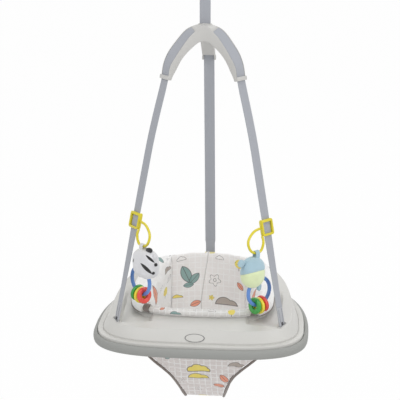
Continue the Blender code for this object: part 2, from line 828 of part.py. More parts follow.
def build_top_strap(parent):
    """Make the top strap: up through the adjuster, over the loop's bar and back to a short tail."""
    levels = upper_levels()
    turn_radius = ply_spacing / 2
    across = Vector((webbing_width / 2, 0, 0))
    stations = [(Vector((0, 0, z)), across, Vector((0, -1, 0)))
                for z in (hub_top - top_strap_sink, levels["adjuster"], levels["bar"])]
    for step in range(1, 8):
        angle = math.pi * step / 8
        outward = Vector((0, -math.cos(angle), math.sin(angle)))
        stations.append((Vector((0, turn_radius, levels["bar"])) + outward * turn_radius, across, outward))
    stations += [(Vector((0, ply_spacing, z)), across, Vector((0, 1, 0)))
                 for z in (levels["bar"], levels["adjuster"] - adjuster_height / 2 - tail_length)]
    ribbon("top_strap", stations, webbing_thickness, "webbing_grey", parent)


def slide_buckle(name, width, height, depth, window, finish, parent, at, turn=None):
    """Make a slide buckle: a rounded frame round the webbing, with the middle bar behind it."""
    frame = plate(name, rounded_rectangle(width, height, width / 6), depth, finish, parent, at, turn)
    inner = webbing_width / 2 + running_gap
    gap = webbing_thickness / 2 + running_gap
    bar = height / 9
    tall = height / 2 + cut_overrun
    cuts = {"channel": ((-inner, -gap, -tall), (inner, gap, tall)),
            "window": ((-inner, -depth, -window / 2), (inner, gap, window / 2)),
            "upper": ((-inner, -gap, bar), (inner, depth, tall)),
            "lower": ((-inner, -gap, -tall), (inner, depth, -bar))}
    for part, (low, high) in cuts.items():
        combine(frame, block(f"{name}_{part}_cutter", low, high, None, parent, at, turn), "DIFFERENCE")
    return frame


def build_adjuster(parent):
    """Make the height adjuster on the doubled top strap."""
    centre = Vector((0, 0, upper_levels()["adjuster"]))
    axis = empty("adjuster_axis", centre, parent)
    depth = 2 * (ply_spacing - webbing_thickness / 2 - running_gap)
    slide_buckle("height_adjuster", adjuster_width, adjuster_height, depth,
                 adjuster_window_share * adjuster_height, "moulded_grey", axis, (0, 0, 0))


def build_strap_loop(parent):
    """Make the steel loop that joins the top strap to the spring."""
    levels = upper_levels()
    half = webbing_width / 2 + 2 * running_gap + loop_wire
    low, high = levels["bar"], levels["loop_top"]
    corner = 2 * loop_wire
    route = []
    for cx, cz, start in ((half - corner, high - corner, 0), (corner - half, high - corner, 90),
                          (corner - half, low + corner, 180), (half - corner, low + corner, 270)):
        for step in range(4):
            angle = math.radians(start + 30 * step)
            route.append((cx + corner * math.cos(angle), ply_spacing / 2, cz + corner * math.sin(angle)))
    rod("strap_loop", route, loop_wire, "steel", parent, (0, ply_spacing / 2, high), closed=True)


# Spring unit, swivel and clamp


def coil_points(turns, pitch, radius, per_turn, start):
    """Return points along an upright helix."""
    points = []
    for step in range(int(turns * per_turn) + 1):
        angle = 2 * math.pi * step / per_turn
        place = Vector((radius * math.cos(angle), radius * math.sin(angle), pitch * step / per_turn))
        points.append(start + place)
    return points


def least_gap(points, wire, per_turn):
    """Return the least space between neighbouring turns of a coil, measured on its points."""
    nearest = min((a - b).length for i, a in enumerate(points)
                  for b in points[i + per_turn // 2 + 1: i + 2 * per_turn])
    return nearest - wire


def eye_guide(name, centre, parent):
    """Make a round eye that stands in the YZ plane."""
    return rod(name, [centre + Vector((0, eye_radius * math.cos(a), eye_radius * math.sin(a)))
                      for a in circle_turns(12)], eye_wire, None, parent, sides=6, closed=True)


def spring_cap(name, base, up, parent):
    """Make a cup that holds one end of the spring, open towards it."""
    floor = cap_wall / 6
    profile = ((floor, 0), (cap_radius, 0), (cap_radius, cap_height), (cap_radius - cap_wall, cap_height),
               (cap_radius - cap_wall, cap_wall), (floor, cap_wall))
    return stacked(name, [(r, base + up * z) for r, z in profile], 16, "hub_white", parent)


def build_spring_unit(upper, lower, spine):
    """Make the coil spring between its two caps; the lower cap's eye holds the strap loop."""
    levels = upper_levels()
    points = coil_points(spring_turns, spring_pitch, spring_radius, spring_points,
                         Vector((0, spine, levels["coil_start"])))
    rod("main_spring", points, spring_wire / 2, "steel", upper, sides=6)
    print("main_spring least gap mm", round(1000 * least_gap(points, spring_wire, spring_points), 3))
    cap = spring_cap("spring_cap_lower", levels["cap"], 1, lower)
    cap.location.y = spine
    combine(cap, eye_guide("lower_eye_guide", Vector((0, spine, levels["eye"])), lower), "UNION")
    spring_cap("spring_cap_upper", levels["top_cap"], -1, upper).location.y = spine
    build_swivel_housing(upper, spine)


def build_swivel_housing(parent, spine):
    """Make the housing on the upper cap in which the swivel's headed stem turns."""
    levels = upper_levels()
    base, top = levels["housing"], levels["housing"] + housing_height
    bore = stem_radius + running_gap
    profile = ((housing_radius, base), (housing_radius, top), (bore, top), (bore, top - cap_wall),
               (housing_radius - cap_wall, top - cap_wall), (housing_radius - cap_wall, base))
    turned("swivel_housing", profile, 16, "hub_white", parent, (0, spine, 0))


def build_swivel(parent, spine):
    """Make the swivel: an eye over the hanger's bar, with a headed stem down into the housing."""
    levels = upper_levels()
    top = levels["housing"] + housing_height
    head = top - cap_wall - running_gap
    profile = ((stem_head_radius, head - stem_head_height), (stem_head_radius, head), (stem_radius, head),
               (stem_radius, levels["top_eye"] - eye_radius + eye_wire / 2))
    stem = stacked("swivel_eye", profile, 12, "steel", parent, (0, spine, 0))
    combine(stem, eye_guide("upper_eye_guide", Vector((0, spine, levels["top_eye"])), parent), "UNION")


def build_hanger(parent):
    """Make the hanger: two plates on the clamp's pivot pin and the bar that the swivel hangs on."""
    inner = jaw_width / 2 + running_gap
    outer = inner + hanger_plate_thickness
    wide = ear_radius * hanger_width_share
    narrow = hanger_bar_radius * hanger_foot_share
    reach = outer + contact_gap
    bar = -pivot_drop - hanger_drop
    bridge = rod("hanger", [(-reach, 0, bar), (reach, 0, bar)], hanger_bar_radius, "steel", parent)
    turn = Matrix.Rotation(math.pi / 2, 3, "Z")
    outline = [(wide * math.cos(a), wide * math.sin(a)) for a in (math.pi * k / 6 for k in range(7))]
    outline += [(-narrow, -hanger_drop - hanger_bar_radius), (narrow, -hanger_drop - hanger_bar_radius)]
    for side, name in SIDES.items():
        x = side * (inner + outer) / 2
        combine(bridge, plate(f"hanger_plate_guide_{name}", outline, hanger_plate_thickness, None, parent,
                              (x, 0, -pivot_drop), turn), "UNION")
    combine(bridge, pin_cutter("hanger_bore_cutter", parent), "DIFFERENCE")
    build_pivot(parent, outer)


def across_turn():
    """Return the rotation that lays a turned piece's axis along X."""
    return Matrix.Rotation(math.pi / 2, 3, "Y")


def pin_cutter(name, parent):
    """Make the cutter of the clamp's pivot bore."""
    radius = pivot_radius + running_gap
    return stacked(name, ((radius, -jaw_width), (radius, jaw_width)), 12, None, parent, (0, 0, -pivot_drop),
                   across_turn())


def build_pivot(parent, outer):
    """Make the riveted pivot pin through the hanger and both jaws."""
    shoulder = outer + running_gap
    end = shoulder + pivot_head_height
    profile = ((pivot_head_radius, -end), (pivot_head_radius, -shoulder), (pivot_radius, -shoulder),
               (pivot_radius, shoulder), (pivot_head_radius, shoulder), (pivot_head_radius, end))
    stacked("clamp_pivot_pin", profile, 12, "steel", parent, (0, 0, -pivot_drop), across_turn())


def build_torsion_spring(parent):
    """Make the small spring round the pin that closes the jaws."""
    half = torsion_turns * torsion_pitch / 2
    wound = [Vector((p.z, p.x, p.y)) for p in coil_points(torsion_turns, torsion_pitch, torsion_radius, 8,
                                                         Vector((0, 0, -half)))]
    points = [wound[0] - UP * torsion_leg] + wound + [wound[-1] - UP * torsion_leg]
    rod("clamp_spring", points, torsion_wire / 2, "steel", parent, sides=6).location = (0, 0, -pivot_drop)
    print("clamp_spring least gap mm", round(1000 * least_gap(wound, torsion_wire, 8), 3))


def jaw_outline():
    """Return the side outline of one jaw as Y and Z from the pivot, for the jaw on the +Y side."""
    near = ear_radius + 2 * running_gap
    back = jaw_half_gap + pad_thickness + contact_gap
    elbow = pivot_drop - jaw_elbow_drop
    inner = [(handle_spread - jaw_thickness / 2, -handle_length)]
    inner += [(near * run, ear_radius * rise) for run, rise in zip(jaw_waist_shares, jaw_rise_shares)]
    inner += [(jaw_elbow_y - jaw_thickness, elbow), (back, pivot_drop - pad_height / 2 - contact_gap),
              (back, pivot_drop + jaw_top_rise)]
    outer = [(handle_spread + jaw_thickness / 2, -handle_length), (near + jaw_thickness, -ear_radius),
             (near + jaw_thickness, ear_radius * jaw_outer_share), (jaw_elbow_y, elbow - jaw_thickness / 2),
             (jaw_elbow_y, pivot_drop - pad_height / 2),
             (back + jaw_thickness * jaw_tip_share, pivot_drop + jaw_top_rise)]
    return inner + [(p.x, p.y) for p in spline([(y, z, 0) for y, z in outer], 2)][::-1]


def build_jaws(parent):
    """Make both jaws, each with two ears on the pin and a ribbed rubber pad."""
    ear_outer = jaw_width / 2 - contact_gap
    ear_places = {-1: ear_outer - ear_thickness / 2, 1: ear_outer - 1.5 * ear_thickness - 2 * running_gap}
    for side, name in {-1: "front", 1: "rear"}.items():
        axis = empty(f"clamp_axis_{name}", (0, 0, -pivot_drop), parent)
        turn = Matrix.Rotation(side * math.pi / 2, 3, "Z")
        jaw = plate(f"clamp_jaw_{name}", jaw_outline(), jaw_width, "hub_white", axis, (0, 0, 0), turn)
        for end in SIDES:
            guide = plate(f"ear_guide_{name}_{SIDES[end]}", ear_outline(), ear_thickness, None, axis,
                          (end * ear_places[side], 0, 0), turn)
            combine(jaw, guide, "UNION")
        radius = pivot_radius + running_gap
        bore = stacked(f"jaw_bore_cutter_{name}", ((radius, -jaw_width), (radius, jaw_width)), 12, None, axis,
                       (0, 0, 0), across_turn())
        combine(jaw, bore, "DIFFERENCE")
        build_grip_pad(side, name, axis)


def ear_outline():
    """Return a jaw ear's outline round the pivot, reaching into the jaw on its +Y side."""
    arc = [(ear_radius * math.cos(a), ear_radius * math.sin(a))
           for a in (math.pi / 2 + math.pi * k / 8 for k in range(9))]
    reach = ear_radius + jaw_thickness / 2
    return arc + [(reach, share * ear_radius) for share in ear_root_shares]


def build_grip_pad(side, name, parent):
    """Make the rubber pad on a jaw, with level ribs cut in its gripping face."""
    half = jaw_width / 2
    tall = pad_height / 2
    face = side * jaw_half_gap
    near, far = sorted((face, face + side * pad_thickness))
    pad = block(f"grip_pad_{name}", (-half, near, -tall), (half, far, tall), "rubber_grey", parent,
                (0, 0, pivot_drop))
    pitch = pad_height / (pad_rib_count + 1)
    for k in range(pad_rib_count):
        if k == pad_rib_count // 2:
            continue
        z = (k + 1) * pitch - tall
        groove = block(f"pad_groove_{name}_{k}", (-jaw_width, face - pad_rib_depth, z - pitch / 6),
                       (jaw_width, face + pad_rib_depth, z + pitch / 6), None, parent, (0, 0, pivot_drop))
        combine(pad, groove, "DIFFERENCE")


# Seat padding


def pad_section(line, thicknesses):
    """Return a pad's closed section from its back line of point and direction pairs."""
    front = [point + direction.normalized() * thick for (point, direction), thick in zip(line, thicknesses)]
    return front + [point for point, _ in reversed(line)]


def back_rows():
    """Return the seat back's rows: Y from the rim's edge or the middle, height, direction, width, follow."""
    edge = opening_y(0, True)
    top = rim_rear_height + pad_lift
    under = rim_rear_height - inner_skirt_depth
    wide = back_half_width
    rows = [(edge + back_hem_reach, top, (0, 0, 1), BACK_HEM_SHARES[0], wide, 1),
            (edge + back_hem_reach / 2, top, (0, -0.2, 1), BACK_HEM_SHARES[1], wide, 1),
            (edge - pad_lift, top, (0, -0.7, 0.7), 1, wide, 1),
            (edge - pad_lift, (rim_rear_height + under) / 2, (0, -1, 0.1), 1, wide, 1),
            (edge - 2 * pad_lift, under, (0, -1, 0), 1, wide, 1)]
    run = edge - crotch_y
    rows += [(edge - run * along, -crotch_depth * down, direction, thick, wide * width, follow)
             for along, down, direction, thick, width, follow in BACK_SHARES]
    rows.append((crotch_y + contact_gap, -crotch_depth, (0, 0, 1), BACK_HEM_SHARES[0], crotch_half_width, 0))
    return rows


def follow_shift(x, rear):
    """Return how far the opening's edge lies from its middle point at an X."""
    return opening_y(x, rear) - opening_y(0, rear)


def padded_panel(name, rows, columns, rear, puff, finish, parent):
    """Make a panel of padding from rows down it and shares across it."""
    sections = []
    for share in columns:
        line, thicknesses = [], []
        for y, z, direction, thick, half_width, follow in rows:
            x = share * half_width
            line.append((Vector((x, y + follow * follow_shift(x, rear), z)), Vector(direction)))
            thicknesses.append(thick * puff(share))
        sections.append(pad_section(line, thicknesses))
    return loft(name, sections, finish, parent)


def build_seat_back(parent):
    """Make the padded seat back: two upright channels that meet in a middle seam, down to the crotch."""
    columns = [-share for share in reversed(BACK_COLUMN_SHARES[1:])] + list(BACK_COLUMN_SHARES)
    body = back_thickness - channel_puff

    def puff(share):
        edge = back_edge_share if abs(share) == 1 else 1
        return body * edge + channel_puff * math.sin(math.pi * abs(share)) ** 0.5

    padded_panel("seat_back", back_rows(), columns, True, puff, "print_fabric", parent)


def wing_station(angle, side, swell, straight, short):
    """Return a wing's section at an angle; its plane turns to match the back seam where it's straight."""
    place = opening_point(angle)
    place.x *= side
    step = math.radians(1)
    tangent = opening_point(angle + step) - opening_point(angle - step)
    normal = Vector((tangent.y, -tangent.x, 0)).normalized()
    normal.x *= side
    out = (normal * (1 - straight) + Vector((0, 1, 0)) * straight).normalized()
    rim = rim_height(place.y)
    under = rim - inner_skirt_depth
    bottom = wing_bottom + (under - rim_round - wing_bottom) * short
    top = rim + pad_lift
    rows = ((wing_hem_reach, top, UP), (wing_hem_reach * wing_crown_shares[0], top, UP + out * 0.4),
            (wing_hem_reach * wing_crown_shares[1], top, UP), (-pad_lift, top, UP - out),
            (-pad_lift, (rim + under) / 2, -out), (-2 * pad_lift, under, -out),
            (-3 * pad_lift, (under + bottom) / 2, -out), (-4 * pad_lift, bottom, -out))
    line = [(place + out * reach + UP * height, direction) for reach, height, direction in rows]
    return pad_section(line, [wing_thickness * thick * swell for thick in wing_thickness_shares])


def build_wings(parent):
    """Make the puffed side pads that wrap the tray's rim between the seat back and the front roll."""
    start = rear_angle(back_half_width + 2 * contact_gap)
    stop = math.radians(roll_start_degrees) - math.pi
    stop_angle = math.radians(0.3) - stop
    count = 12
    for side, name in SIDES.items():
        sections = []
        for k in range(count + 1):
            share = k / count
            angle = start + (stop_angle - start) * share
            swell = wing_end_share + (1 - wing_end_share) * math.sin(math.pi * share) ** 0.6
            sections.append(wing_station(angle, side, swell, 1 - smooth_share(share, 0, 0.25),
                                         smooth_share(share, 0.45, 0.8)))
        loft(f"seat_wing_{name}", sections, "print_fabric", parent)


def roll_station(angle, radius):
    """Return a round section of the front roll over the tray's rim."""
    place = opening_point(angle)
    step = math.radians(1)
    tangent = opening_point(angle + step) - opening_point(angle - step)
    out = Vector((tangent.y, -tangent.x, 0)).normalized()
    centre = place + out * roll_reach + UP * (rim_height(place.y) + pad_lift + roll_radius + band_puff)
    return [centre + radius * (math.cos(a) * out + math.sin(a) * UP) for a in circle_turns(12)]


def build_front_roll(parent):
    """Make the padded roll over the front rim, with a wrapped band at each end."""
    start = math.radians(roll_start_degrees)
    band = math.radians(band_length_degrees)
    stop = 3 * math.pi - start
    seam = math.radians(0.2)
    sections = []
    for k in range(17):
        share = k / 16
        angle = start + band + seam + (stop - start - 2 * band - 2 * seam) * share
        swell = roll_end_share + (1 - roll_end_share) * math.sin(math.pi * share) ** 0.4
        sections.append(roll_station(angle, roll_radius * swell))
    loft("seat_front_roll", sections, "print_fabric", parent)
    for name, low in (("left", start), ("right", stop - band)):
        wrap = [roll_station(low + band * k / 3, roll_radius + band_puff) for k in range(4)]
        loft(f"roll_band_{name}", wrap, "taupe_binding", parent)


def apron_rows():
    """Return the front panel's rows: Y, height, direction, thickness share, half-width and follow."""
    edge = opening_y(0, False)
    wide = apron_half_width
    top = apron_top_share * wide
    rows = [(edge + pad_lift, rim_front_height - rim_round, (0, 1, 0), 1, top, 1),
            (edge + pad_lift, rim_front_height - inner_skirt_depth, (0, 1, 0), 1, top, 1)]
    run = crotch_y - edge
    rows += [(edge + run * along, -crotch_depth * down, direction, 1, wide * width, follow)
             for along, down, direction, width, follow in APRON_SHARES]
    return rows + [(crotch_y - contact_gap, -crotch_depth, (0, 0, 1), apron_hem_share, crotch_half_width, 0)]


def build_apron(parent):
    """Make the front panel that hangs from the rim and narrows between the leg openings."""
    columns = [k / 5 for k in range(-5, 6)]
    padded_panel("seat_apron", apron_rows(), columns, False, lambda share: apron_thickness,
                 "print_fabric", parent)


def panel_edge(rows, side, rear, first):
    """Return the points just outside a panel's side edge, from one row downwards."""
    edge = [Vector((side * half_width, y + follow * follow_shift(half_width, rear), z))
            + Vector(direction).normalized() * thick * apron_thickness / 2
            for y, z, direction, thick, half_width, follow in rows]
    points = []
    for i in range(first, len(edge)):
        along = (edge[min(i + 1, len(edge) - 1)] - edge[i - 1]).normalized()
        outward = (Vector((side, 0, 0)) - along * along.x * side).normalized()
        points.append(edge[i] + outward * (binding_radius + binding_gap))
    return points


def build_bindings(parent):
    """Make the tape bound round each leg opening."""
    for side, name in SIDES.items():
        front = panel_edge(apron_rows(), side, False, 3)
        rear = panel_edge(back_rows(), side, True, 6)
        off = binding_radius + binding_gap
        corner = [Vector((side * (crotch_half_width + off), crotch_y, -crotch_depth + apron_thickness / 2))]
        route = front[:-1] + corner + rear[-2::-1]
        rod(f"leg_binding_{name}", route, binding_radius, "taupe_binding", parent, sides=6)


# Toys


def toy_frame(side):
    """Return a toy's upright frame on its strap and the strap's own tilted frame."""
    foot = strap_foot(side)
    tip, along, level, _ = strap_line(side, foot)
    centre = tip + along * ((clip_heights[side] - tip.z) / along.z)
    x_axis = level * side
    tilted = Matrix((x_axis, (-along).cross(x_axis), -along)).transposed()
    return centre, tilted, strap_turn(side)


def hook_route(side):
    """Return the hook's path from the clip's inner side, round and back, in the upright frame."""
    shares = zip(hook_reach_shares, hook_forward_shares, hook_drop_shares)
    return spline([(-side * hook_reach * reach, -hook_forward * forward, -hook_drop * drop)
                   for reach, forward, drop in shares], 2)


def hang_point(side):
    """Return where a toy's loop hangs on its hook, in the upright frame."""
    return min(hook_route(side), key=lambda point: point.z)


def build_clip(side, name, parent):
    """Make the slide clip on a front strap, moulded in one with its hook."""
    centre, tilted, upright = toy_frame(side)
    axis = empty(f"clip_axis_{name}", centre, parent)
    clip = slide_buckle(f"toy_clip_{name}", clip_width, clip_height, clip_depth, clip_height / 2,
                        "clip_yellow", axis, (0, 0, 0), tilted)
    hook = rod(f"hook_guide_{name}", hook_route(side), hook_wire, None, axis, sides=6)
    combine(clip, placed(hook, axis, (0, 0, 0), upright), "UNION")
    return axis, upright


def blob(name, half, finish, parent, at, steps=16, rings=10):
    """Make a swelling stuffed form with the given half sizes."""
    wide, deep, tall = half
    sections = []
    for k in range(rings + 1):
        angle = math.pi * (blob_end_share + (1 - 2 * blob_end_share) * k / rings) - math.pi / 2
        girth = math.cos(angle) ** blob_power
        sections.append([(wide * girth * math.cos(a), deep * girth * math.sin(a), tall * math.sin(angle))
                         for a in circle_turns(steps)])
    mesh = bmesh.new()
    add_loft(mesh, sections)
    return placed(object_from(name, mesh, finish), parent, at)


def ring_path(radius, steps, centre):
    """Return points round a ring in the upright frame's XZ plane."""
    return [centre + radius * Vector((math.sin(a), 0, math.cos(a))) for a in circle_turns(steps)]


def disc_profile():
    """Return the rounded section of a teething disc."""
    middle = (disc_radius + disc_hole_radius) / 2
    half = (disc_radius - disc_hole_radius) / 2
    return [(middle + half * math.cos(a), disc_thickness / 2 * math.sin(a)) for a in circle_turns(8)]


def build_ring_and_discs(side, name, plush_axis, hang, plush):
    """Make the blue ring through the toy's base and its three discs, each on an axis of its own."""
    centre = Vector((-side * ring_reach, -hook_forward, -ring_drops[side])) - hang
    axis = empty(f"ring_axis_{name}", centre, plush_axis)
    rod(f"blue_ring_{name}", ring_path(ring_radius, 24, Vector()), ring_wire, "ring_blue", axis, closed=True)
    tunnel = rod(f"tunnel_cutter_{name}", ring_path(ring_radius, 24, centre), ring_wire + running_gap, None,
                 plush_axis, closed=True)
    for solid in plush:
        combine(solid, tunnel, "DIFFERENCE")
    sag = disc_hole_radius - ring_wire - running_gap
    colours = ("red", "yellow", "green") if side < 0 else ("green", "yellow", "red")
    for place, colour in zip((1, 0, -1), colours):
        angle = -side * place * math.radians(disc_angle_degrees)
        tilt = -side * place * math.radians(disc_tilt_degrees)
        disc_axis = empty(f"disc_axis_{colour}_{name}", (0, 0, 0), axis)
        where = Vector((ring_radius * math.sin(angle), 0, -ring_radius * math.cos(angle) - sag))
        turn = Matrix.Rotation(math.pi / 2 - tilt, 3, "Y")
        turned(f"disc_{colour}_{name}", disc_profile(), 14, f"disc_{colour}", disc_axis, where, turn)


def build_plush(side, name, axis, upright, hang):
    """Make one stuffed toy: its body, head parts, fabric loop and limbs."""
    swing = empty(f"swing_axis_{name}", upright @ hang, axis, upright)
    half = (plush_half_widths[side], plush_half_depth, plush_half_heights[side])
    centre = Vector((-side * plush_reach, -hook_forward, -plush_drop[side])) - hang
    build_toy_loop(side, name, swing, centre, half)
    guide = blob(f"plush_guide_{name}", [size + contact_gap for size in half], None, swing, centre)
    limbs = []
    for limb, (finish, place, size) in PLUSH_LIMBS[side].items():
        at = centre + Vector((-side * place[0] * half[0], place[1] * half[1], place[2] * half[2]))
        spans = [share * span for share, span in zip(size, half)]
        piece = blob(f"plush_{limb}", spans, finish, swing, at, 10, 6)
        limbs.append(combine(piece, guide, "DIFFERENCE"))
    if side < 0:
        return swing, [blob(f"plush_body_{name}", half, "plush_white", swing, centre)]
    head = blob(f"plush_head_{name}", half, "plush_blue", swing, centre)
    belly = blob(f"plush_belly_{name}", half, "plush_green", swing, centre)
    big = 2 * half[2]
    seam = contact_gap / 2
    below = block("head_cutter", (-big, -big, -big), (big, big, seam), None, swing, centre)
    above = block("belly_cutter", (-big, -big, -seam), (big, big, big), None, swing, centre)
    combine(head, below, "DIFFERENCE")
    combine(belly, above, "DIFFERENCE")
    return swing, [head, belly, limbs[-1]]


def build_toy_loop(side, name, parent, centre, half):
    """Make the fabric loop from the toy's crown over its hook."""
    reach = hook_wire + toy_loop_wire + toy_loop_lift
    girth = math.hypot((abs(centre.x) - toy_loop_wire) / half[0], (reach - toy_loop_wire) / half[1])
    foot = centre.z + half[2] * math.sin(math.acos(girth ** (1 / blob_power))) + contact_gap
    arc = [Vector((0, reach * math.cos(a), reach * math.sin(a))) for a in (math.pi * k / 8 for k in range(9))]
    route = [Vector((0, reach, foot))] + arc + [Vector((0, -reach, foot))]
    finish = "plush_white" if side < 0 else "plush_blue"
    rod(f"toy_loop_{name}", route, toy_loop_wire, finish, parent, sides=6)


def build_toys(parent):
    """Make both toys with their clips, rings and discs."""
    for side, name in SIDES.items():
        axis, upright = build_clip(side, name, parent)
        hang = hang_point(side)
        swing, plush = build_plush(side, name, axis, upright, hang)
        build_ring_and_discs(side, name, swing, hang, plush)


def main():
    """Build the jumper."""
    clear_scene()
    spine = ply_spacing / 2
    clamp = empty("door_clamp", (0, 0, 0))
    seat_frame = empty("seat_frame", (0, -spine, -upper_levels()["grip"]))
    build_tray(seat_frame)
    build_bumper(seat_frame)
    build_hub(seat_frame)
    build_lower_straps(seat_frame)
    build_top_strap(seat_frame)
    build_adjuster(seat_frame)
    build_strap_loop(seat_frame)
    build_spring_unit(seat_frame, seat_frame, spine)
    build_swivel(seat_frame, spine)
    build_hanger(clamp)
    build_torsion_spring(clamp)
    build_jaws(clamp)
    build_seat_back(seat_frame)
    build_wings(seat_frame)
    build_front_roll(seat_frame)
    build_apron(seat_frame)
    build_bindings(seat_frame)
    build_toys(seat_frame)


if __name__ == "__main__":
    main()
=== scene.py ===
"""Dresses the baby doorway jumper: a padded seat in a bumper tray, hung by webbing from a spring and a clamp.

All sizes are metres. The lower assembly is drawn in the seat's own frame, whose zero is the bumper's
mid-height under the hub, and every finished mesh is then moved down to its place under the clamp.
"""

import logging
import math
import random
from dataclasses import dataclass
from enum import Enum
from typing import Callable, Optional, Sequence

import bmesh
import bpy
from mathutils import Matrix, Vector, noise
from mathutils.bvhtree import BVHTree


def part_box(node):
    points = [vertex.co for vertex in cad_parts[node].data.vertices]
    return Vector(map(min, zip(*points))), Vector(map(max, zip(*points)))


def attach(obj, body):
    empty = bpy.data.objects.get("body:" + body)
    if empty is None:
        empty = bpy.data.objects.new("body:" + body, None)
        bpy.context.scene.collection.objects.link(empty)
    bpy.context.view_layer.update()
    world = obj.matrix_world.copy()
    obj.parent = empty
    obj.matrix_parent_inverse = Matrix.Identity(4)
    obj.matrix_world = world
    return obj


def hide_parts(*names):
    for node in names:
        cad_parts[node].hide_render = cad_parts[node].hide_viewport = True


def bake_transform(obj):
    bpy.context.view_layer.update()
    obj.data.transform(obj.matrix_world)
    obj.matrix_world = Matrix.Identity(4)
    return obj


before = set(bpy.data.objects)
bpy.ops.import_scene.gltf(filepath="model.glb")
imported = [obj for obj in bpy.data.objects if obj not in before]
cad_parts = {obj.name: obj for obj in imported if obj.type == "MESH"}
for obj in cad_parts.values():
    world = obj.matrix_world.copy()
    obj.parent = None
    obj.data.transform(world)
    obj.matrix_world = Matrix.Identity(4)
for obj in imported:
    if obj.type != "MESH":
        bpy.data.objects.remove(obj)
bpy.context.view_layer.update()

LOG = logging.getLogger("jumper")
UP = Vector((0.0, 0.0, 1.0))
SEAT_SHIFT = Vector((0.0, -0.0034, -1.16))
NO_SHIFT = Vector((0.0, 0.0, 0.0))
CLOSE_GAP = 0.0003
RUNNING_GAP = 0.0006
ACROSS = Vector((1, 0, 0))
Colour = tuple[int, int, int]
Node = bpy.types.Node
NodeTree = bpy.types.NodeTree
Object = bpy.types.Object
Ring = Sequence[Vector]
Socket = bpy.types.NodeSocket


class Side(Enum):
    """Which of the three lower straps, or which toy, a piece belongs to."""

    LEFT = -1
    REAR = 0
    RIGHT = 1

    @property
    def word(self) -> str:
        """Return the side's name as node names spell it."""
        return self.name.lower()


class Motif(Enum):
    """The small drawings printed on the seat cloth."""

    LEAF = "leaf"
    CLOUD = "cloud"
    HILL = "hill"
    BLOOM = "bloom"
    BUSH = "bush"


# Plain geometry


def eased(value: float, low: float, high: float) -> float:
    """Return 0 below low, 1 above high and a smooth value between.

    Args:
        value: The number to place between low and high.
        low: Where the result leaves 0.
        high: Where the result reaches 1.

    Returns:
        The eased share.
    """
    share = min(max((value - low) / (high - low), 0.0), 1.0)
    return share * share * (3.0 - 2.0 * share)


def turns(steps: int) -> list[float]:
    """Return equal angles round a circle."""
    return [2.0 * math.pi * k / steps for k in range(steps)]


def spline(points: Sequence[Sequence[float]], steps: int) -> list[Vector]:
    """Return points on a smooth curve through the given ones.

    Args:
        points: The points to pass through.
        steps: The number of steps in each stretch.

    Returns:
        The points of the curve, its ends among them.
    """
    given = [Vector(point) for point in points]
    ends = [2 * given[0] - given[1], *given, 2 * given[-1] - given[-2]]
    curve = []
    for before, start, stop, after in zip(ends, ends[1:], ends[2:], ends[3:]):
        for step in range(steps):
            t = step / steps
            curve.append(0.5 * (2 * start + (stop - before) * t
                                + (2 * before - 5 * start + 4 * stop - after) * t * t
                                + (3 * start - before - 3 * stop + after) * t ** 3))
    return curve + [given[-1]]


def soften(outline: Sequence[Vector], radius: float, cuts: int = 3) -> list[Vector]:
    """Round the corners of a closed outline.

    Args:
        outline: The corners in order.
        radius: How far back from each corner the rounding starts.
        cuts: The number of points that replace a corner.

    Returns:
        The rounded outline.
    """
    made = []
    for i, corner in enumerate(outline):
        before, after = outline[i - 1], outline[(i + 1) % len(outline)]
        back = min(radius, (before - corner).length * 0.45)
        ahead = min(radius, (after - corner).length * 0.45)
        start = corner + (before - corner).normalized() * back
        stop = corner + (after - corner).normalized() * ahead
        for k in range(cuts):
            t = k / (cuts - 1)
            made.append(start.lerp(corner, t).lerp(corner.lerp(stop, t), t))
    return made


def rounded_rectangle(width: float, height: float, radius: float, steps: int = 6) -> list[Vector]:
    """Return a rounded rectangle's outline in the XY plane.

    Args:
        width: Its full width.
        height: Its full height.
        radius: The corners' radius.
        steps: The steps of each corner.

    Returns:
        The outline's points in order.
    """
    outline = []
    for corner, (sx, sy) in enumerate(((1, 1), (-1, 1), (-1, -1), (1, -1))):
        for step in range(steps + 1):
            angle = math.pi / 2 * (corner + step / steps)
            outline.append(Vector((sx * (width / 2 - radius) + radius * math.cos(angle),
                                   sy * (height / 2 - radius) + radius * math.sin(angle), 0)))
    return outline


def tube_rings(path: Sequence[Vector], radius: Callable[[float], float], sides: int,
               closed: bool = False) -> list[list[Vector]]:
    """Return round sections square to a path, turned as little as possible along it.

    Args:
        path: The points of the centreline.
        radius: Gives the radius at a share of the path.
        sides: The number of points round a section.
        closed: Whether the path meets itself.

    Returns:
        One ring of points for each point of the path.
    """
    count = len(path)
    across: Optional[Vector] = None
    rings = []
    for i, point in enumerate(path):
        before = path[i - 1] if closed or i else point
        after = path[(i + 1) % count] if closed or i < count - 1 else point
        along = (after - before).normalized()
        across = along.orthogonal() if across is None else across
        across = (across - along * across.dot(along)).normalized()
        over = along.cross(across)
        size = radius(i / max(count - 1, 1))
        rings.append([point + size * (math.cos(turn) * across + math.sin(turn) * over)
                      for turn in turns(sides)])
    return rings


def round_ended(radius: float, share: float = 0.02) -> Callable[[float], float]:
    """Return a radius that closes in to a dome over the last share of each end of a tube.

    Args:
        radius: The tube's radius.
        share: The share of the length that each dome takes.

    Returns:
        A call that gives the radius at a share of the length.
    """
    def size(place: float) -> float:
        """Return the tube's radius at a share of its length."""
        near = min(place, 1.0 - place) / share
        return radius * math.sqrt(max(0.0, 1.0 - (1.0 - min(near, 1.0)) ** 2)) + radius * 0.02
    return size


